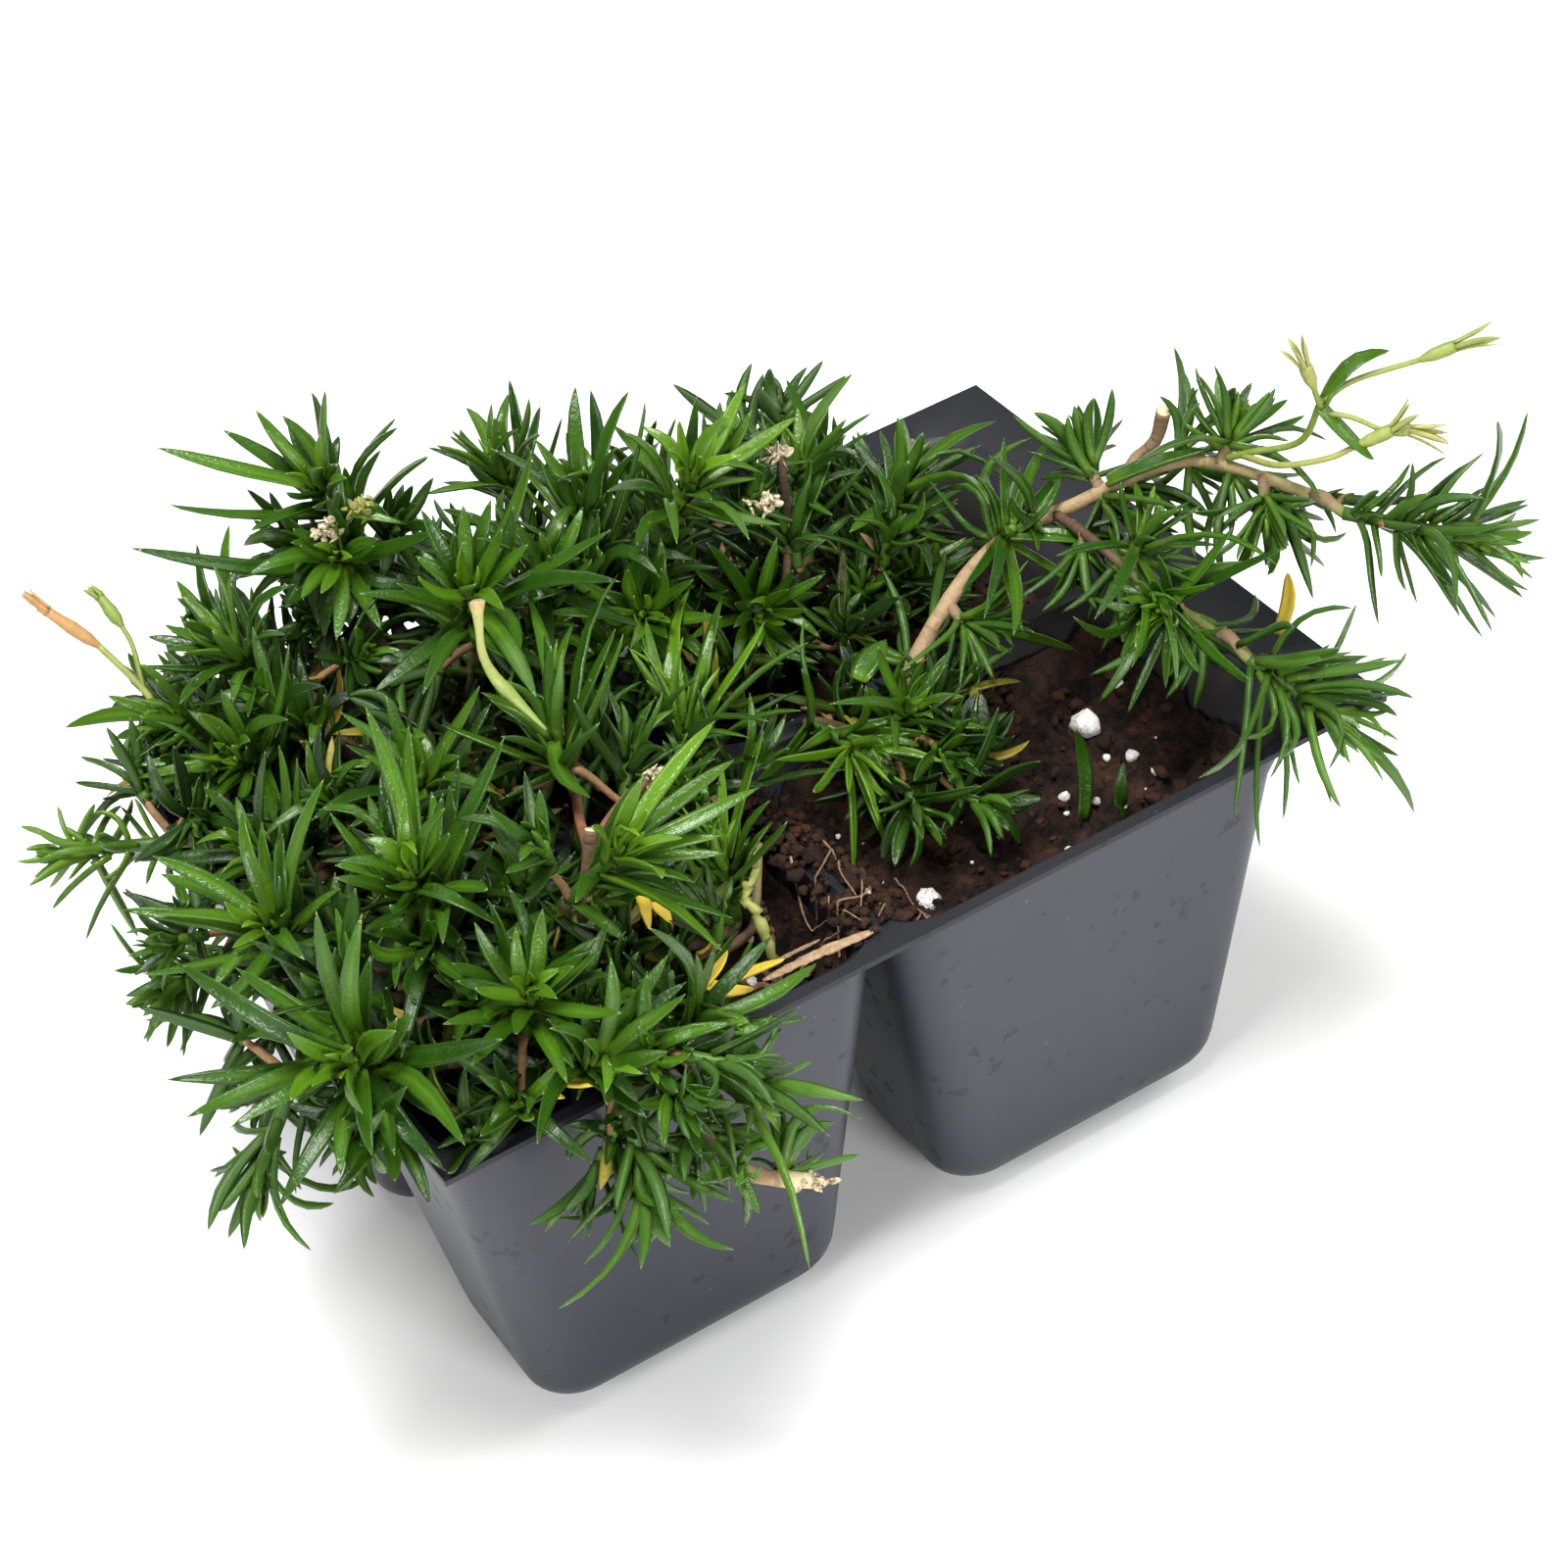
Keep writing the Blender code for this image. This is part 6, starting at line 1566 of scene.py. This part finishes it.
# What shows among the leaves: points on the bare stems and their cut ends, on the twig and the
# strip, and on the yellow leaves
BARE_WOOD = (("forked_stem", 16, slice(10, None)), ("fork_back_arm", 8, slice(6)),
             ("fork_front_arm", 9, slice(None)), ("browned_stem", 12, slice(10, None)),
             ("trimmed_stem", 30, slice(26, None)), ("long_stem", 40, slice(12, 26, 2)))
IN_SIGHT = np.concatenate([smooth_path(ROUTES[name][3], count)[shown] for name, count, shown in BARE_WOOD]
                          + [smooth_path(STRIP, 16), CROOKED]
                          + [[np.array(root) * 0.4 + np.array(tip) * 0.6]
                             for root, tip, wide, age in LOOSE if age == 2.0])


def hides_wood(leaf):
    """Whether a leaf passes in front of what shows, seen from the eye's side."""
    gap = leaf.middle(np.linspace(0.1, 1.0, 8))[:, None] - IN_SIGHT[None]
    ahead = gap @ TO_EYE
    beside = np.linalg.norm(gap - ahead[..., None] * TO_EYE, axis=2)
    return bool(((ahead > 0) & (beside < 1.9)).any())


def may_stand(leaf, margin):
    """Whether an added leaf is inside the model's box and clear of the pack and the soil."""
    return in_box(leaf.root + leaf.reach, margin) and clear_of_pack(leaf, 0.15, 7, 0.5)


# The shoots that are young and yellowish, and by how much their leaves' age falls
FRESH = {"front_left_14": 0.22, "back_right_2": 0.25, "front_left_6": 0.2, "front_left_11": 0.15,
         "back_left_7": 0.42, "front_right_1": 0.18, "front_right_7": 0.1, "front_left_12": 0.15}


def stem_and_leaves(mesh, shoot, draw, solid_leaves, fillers, olds, age):
    """Adds a shoot's green stem and all its leaves."""
    backs = np.linspace(-0.4, shoot.stem, 12)[:, None]
    thick = np.clip(0.62 + 0.035 * backs[:, 0], 0.3, 0.9)
    thick[0] = 0.2
    ages = np.clip(0.05 + 0.07 * backs[:, 0], 0.0, 0.7)
    marks = np.column_stack([np.broadcast_to((0.3, UNDER, 0.5), (12, 3)), ages])
    mesh.add_tube(tube(shoot.tip - shoot.axis * backs, thick, 8), np.repeat(marks, 8, axis=0))
    leaves = [(leaf, draw.random(),
               age + 0.3 + 0.05 * np.dot(shoot.tip - leaf.root, shoot.axis) + draw.uniform(-0.1, 0.12))
              for leaf in solid_leaves]
    leaves += [entry for entry in more_leaves(shoot, draw, fillers, olds, age)
               if may_stand(entry[0], 1.0) and not hides_wood(entry[0])]
    for group, sway in ((leaves[:len(solid_leaves)], 0.6), (leaves[len(solid_leaves):], 1.0)):
        if group:
            mesh.add(*blades(*zip(*group), draw, sway=sway))


for number, shoot in enumerate(shoots):
    draw = np.random.default_rng(100 + number)
    shoot.origin = branch_start(shoot.name)
    mesh = Parts()
    spare = [leaf for leaf in shoot.crowded_out if may_stand(leaf, 0.0)]
    stem_and_leaves(mesh, shoot, draw, shoot.leaves + spare, 8, 4 if shoot.start else 8,
                    -FRESH.get(shoot.name, 0.0))
    leafy_piece("leaves_" + shoot.name, mesh, ["shoot_" + shoot.name])


# The undergrowth: side shoots that fork off below each rosette, and short ones close to the soil,
# which fill each plant up to a cushion.  They are thin brown twigs with the same leaves, shorter
# the deeper they stand, and painted darker there as shade.
class Sprig:
    """A side shoot: where it forks off, its tip, its way, and the sizes of its stem and leaves."""

    def __init__(self, origin, tip, axis, stem, size, width):
        self.name = ""
        self.origin, self.tip, self.axis = origin, tip, unit(axis)
        self.stem, self.size, self.width, self.opening = stem, size, width, 56.0
        self.foot = self.tip - self.axis * stem


# How many side shoots each rosette gets
SIDE_SHOOTS = {"front_left": 2, "back_left": 2, "back_right": 2, "front_right": 0}
# Where the low ones stand: across, deep, and how many; their tips' heights are the same for all
LOW_SHOOTS = {"front_left": ((-62, -14), (-50, 0), 26), "back_left": ((-64, -8), (2, 46), 32),
              "back_right": ((-2, 44), (6, 42), 14), "front_right": ((2, 24), (-20, -2), 4)}
LOW_HEIGHTS = (56, 67)
# Where more of them hang over the rim: across, deep, high, and how many
HANGING = {"front_left": (((-76, -68), (-32, -8), (54, 66), 4), ((-44, -36), (-55, -48), (54, 64), 3)),
           "back_left": (((-76, -68), (6, 14), (60, 68), 1), ((-62, -10), (40, 51), (56, 70), 20),
                         ((-68, -58), (14, 34), (60, 70), 4), ((-40, -18), (16, 34), (66, 76), 5)),
           "back_right": (((0, 40), (42, 50), (60, 70), 6),),
           "front_right": (((5, 22), (-30, -13), (55, 62), 6),)}
# How often a side shoot is tried, how far a new tip keeps from all others, and its leaves' age;
# the low ones' leaves are given a high age so that they are painted dark as shade
SIDE_TRIES = 14
SIDE_ROOM, LOW_ROOM, HANGING_ROOM = 6.0, 7.5, 6.5
SIDE_AGE, LOW_SHADE_AGE, HANGING_AGE = 0.38, 0.85, 0.45
# Small whorls along a bare stem: how many, and how much they hang; and by plant their leaves'
# lengths, width and age
STEM_WHORLS = {"front_right": (("long_stem", 14, 0.6), ("side_stem", 9, 0.4)),
               "front_left": (("trimmed_stem", 9, -0.3), ("forked_stem", 4, 0.2))}
WHORL_LEAVES = {"front_right": ((13, 20), 1.7, 0.2), "front_left": ((8, 12.5), 2.0, 0.1)}
tips = [shoot.tip for shoot in shoots]


def has_room(tip, foot, apart):
    """Whether a sprig's tip is inside the plant's reach, clear of the pack and of other tips."""
    return (in_box(tip, 8.0) and not in_pack_or_soil(np.stack([tip, foot, (tip + foot) / 2]))
            and min(np.linalg.norm(tip - other) for other in tips) > apart)


for number, plant in enumerate(CROWNS):
    draw = np.random.default_rng(300 + number)
    sprigs = []
    rosettes = [shoot for shoot in shoots if shoot.plant == plant]
    for shoot in rosettes:
        if shoot.name in TRAILING:
            continue
        wanted = SIDE_SHOOTS[plant]
        for attempt in range(SIDE_TRIES):
            side = turned(shoot.axis, draw.uniform(0, 2 * math.pi))
            tip = shoot.tip + side * draw.uniform(6.5, 11) - shoot.axis * draw.uniform(2, 8)
            axis = unit(shoot.axis + side * draw.uniform(0.3, 0.9) + UP * 0.15)
            if wanted and has_room(tip, tip - axis * 6, SIDE_ROOM):
                size, width = shoot.size * draw.uniform(0.7, 0.95), shoot.width * draw.uniform(0.8, 0.95)
                sprigs.append((Sprig(shoot.foot, tip, axis, 6.0, size, width), SIDE_AGE))
                tips.append(tip)
                wanted -= 1
    across_by, deep_by, wanted = LOW_SHOOTS[plant]
    crown = np.array([*CROWNS[plant], TRUNK_HEAD - 2])
    for attempt in range(6 * wanted):
        tip = np.array([draw.uniform(*span) for span in (across_by, deep_by, LOW_HEIGHTS)])
        axis = unit(UP + (tip - crown) * [1, 1, 0] * 0.025 + draw.normal(0, 0.25, 3))
        if wanted and has_room(tip, tip - axis * 3, LOW_ROOM):
            size, width = draw.uniform(11, 15), draw.uniform(2.0, 2.5)
            sprigs.append((Sprig(crown, tip, axis, 4.0, size, width), LOW_SHADE_AGE))
            tips.append(tip)
            wanted -= 1
    for *spans, wanted in HANGING[plant]:
        for attempt in range(5 * wanted):
            tip = np.array([draw.uniform(*span) for span in spans])
            origin = min([shoot.foot for shoot in rosettes], key=lambda foot: np.linalg.norm(foot - tip))
            axis = unit((tip - origin) * [1, 1, 0.5] - UP * 2 + draw.normal(0, 2, 3))
            if wanted and has_room(tip, tip - axis * 3, HANGING_ROOM):
                size, width = draw.uniform(10, 14), draw.uniform(1.9, 2.4)
                sprigs.append((Sprig(origin, tip, axis, 4.0, size, width), HANGING_AGE))
                tips.append(tip)
                wanted -= 1
    for name, count, drop in STEM_WHORLS.get(plant, ()):
        sizes, width, age = WHORL_LEAVES[plant]
        path = smooth_path(ROUTES[name][3], 40)
        for k in range(count):
            at = int(38 * (k + draw.uniform(0.1, 0.9)) / count)
            along = unit(path[at + 1] - path[at])
            side = turned(along, draw.uniform(0, 2 * math.pi))
            axis = unit(side + 0.5 * along - drop * UP)
            tip = path[at] + axis * draw.uniform(2.5, 4.0)
            if not in_pack_or_soil(tip[None]):
                sprigs.append((Sprig(path[at], tip, axis, 2.2, draw.uniform(*sizes), width), age))
    mesh = Parts()
    for sprig, age in sprigs:
        path = branch_path(sprig.origin, sprig.foot, sprig.axis, 10)
        if hides_wood(Leaf(sprig.foot, sprig.tip, UP, 1.0)):
            continue
        mesh.add_tube(tube(path, np.linspace(0.6, 0.45, 10), 6), (0.5, UNDER, 0.2, 2.9))
        fillers, olds = (9, 4) if age > 0.2 else (6, 0)
        stem_and_leaves(mesh, sprig, draw, [], fillers, olds, age)
    leafy_piece("undergrowth_" + plant, mesh)


# Loose bits among the plants: the leaves above, tufts of dried buds, a peeled strip of a dead stem
# that stands up among the shoots, and a bare crooked twig by the middle of the front rim.
bits = Parts()
draw = np.random.default_rng(8)
loose = [Leaf(root, tip, UP, wide) for root, tip, wide, age in LOOSE]
bits.add(*blades(loose, draw.random(len(loose)), [entry[3] for entry in LOOSE], draw, sway=0.8))
leafy_piece("loose_leaves", bits)

# Buds that have dried up, each a tuft of short blunt scales: its place, its age and its spread
BUDS = (((-34, 37.2, 87), 2.2, (1.9, 1.4, 1.2)), ((-29, 37.6, 88), 0.6, (1.6, 1.6, 1.6)),
        ((-23.5, -24.2, 81.2), 2.2, (1, 1, 1)), ((12.5, 9, 84.5), 2.2, (1.6, 1.4, 1.2)),
        ((20.5, 18.5, 83.2), 2.2, (1.1, 1.1, 1)), ((-29, -61, 47.5), 2.2, (1.5, 1, 0.7)))
SCALES = 26
strip = Parts()
for place, age, spread in BUDS:
    starts = np.array(place) + draw.normal(0, 0.42, (SCALES, 3)) * spread
    ends = starts + draw.normal(0, 0.75, (SCALES, 3))
    scales = [Leaf(root, tip, unit(draw.normal(size=3)), draw.uniform(0.7, 1.3))
              for root, tip in zip(starts, ends)]
    tones = draw.random(SCALES)
    strip.add(*blades(scales, tones, age + draw.uniform(-0.2, 0.2, SCALES), draw, thickness=0.3))
path = smooth_path(CROOKED, 28)
path = path + draw.normal(0, 0.22, path.shape)
girth = np.linspace(0.75, 0.4, 28) * draw.uniform(0.75, 1.25, 28)
strip.add_tube(tube(path, girth, 7), (0.4, UNDER, 0.5, 0.4))
path = smooth_path(STRIP, 30)
width = np.interp(np.arange(30), [0, 3, 8, 14, 21, 29], [0.95, 0.62, 0.42, 0.5, 0.8, 0.15])
ages = np.interp(np.arange(30), [0, 2, 4, 16, 29], [1.7, 1.0, 0.4, 0.25, 0.05])
marks = np.column_stack([np.linspace(1, 0.4, 30), np.full(30, UNDER), np.full(30, 0.9), ages])
rings = path[:, None] + (tube(path, width, 8) - path[:, None]) * [1.2, 1.0, 0.5]
strip.add_tube(rings, np.repeat(marks, 8, axis=0))
leafy_piece("peeled_strip", strip, finish=stalk_finish)


# The floor is a wide pale sheet under the plant, lit by soft lamps like a small photo table; the
# camera stands in front and to the left of it and looks down.
# The camera: its place, and its turn, drop and tilt in degrees, as fitted to the pack's rim
EYE = np.array([-152.8, -322.8, 346.4])
EYE_TURN, EYE_DROP, EYE_TILT = 26.03, 39.67, -8.86
LENS, SENSOR = 83.4, 36.0
# The floor's half width and its height, just under the pack, in metres
FLOOR_HALF, FLOOR_Z = 4, -0.0002
# The soft lamps: place, width and power
LAMPS = {"overhead": ((-0.1, -0.05, 0.95), 0.4, 14.0), "left": ((-0.85, -0.25, 0.45), 0.3, 4.5),
         "front": ((0.0, -1.0, 0.4), 0.4, 10.0), "right": ((0.85, -0.15, 0.55), 0.5, 5.0),
         "back": ((0.15, 0.85, 0.6), 0.5, 1.5)}
AIM = Vector((0.0, 0.0, 0.06))

floor_mesh = bpy.data.meshes.new("table")
floor_corners = [(x * FLOOR_HALF, y * FLOOR_HALF, FLOOR_Z) for x, y in ((-1, -1), (1, -1), (1, 1), (-1, 1))]
floor_mesh.from_pydata(floor_corners, [], [(0, 1, 2, 3)])
floor_mesh.materials.append(Finish("pale table").done(base_color=(0.86, 0.86, 0.86, 1.0), roughness=0.6))
show("table", floor_mesh)

world = bpy.data.worlds.new("studio")
bpy.context.scene.world = world
world.use_nodes = True
background = world.node_tree.nodes["Background"].inputs
background["Color"].default_value = (1.0, 0.99, 0.94, 1.0)
background["Strength"].default_value = 0.17

for name, (place, size, power) in LAMPS.items():
    light = bpy.data.lights.new(name, "AREA")
    light.size, light.energy = size, power
    lamp = show(name, light)
    lamp.location = place
    lamp.rotation_euler = (AIM - Vector(place)).to_track_quat("-Z", "Y").to_euler()

toward = heading(90.0 - EYE_TURN, -EYE_DROP)
level = heading(-EYE_TURN, 0.0)
above = np.cross(level, toward)
roll = math.radians(EYE_TILT)
right = math.cos(roll) * level + math.sin(roll) * above
over = math.cos(roll) * above - math.sin(roll) * level
camera = show("camera", bpy.data.cameras.new("camera"))
camera.data.lens, camera.data.sensor_width, camera.data.clip_start = LENS, SENSOR, 0.01
facing = Matrix(np.array([right, over, -toward]).T.tolist()).to_4x4()
camera.matrix_world = Matrix.Translation(EYE * MM + POT) @ facing
bpy.context.scene.camera = camera
bpy.context.scene.view_settings.view_transform = "Standard"
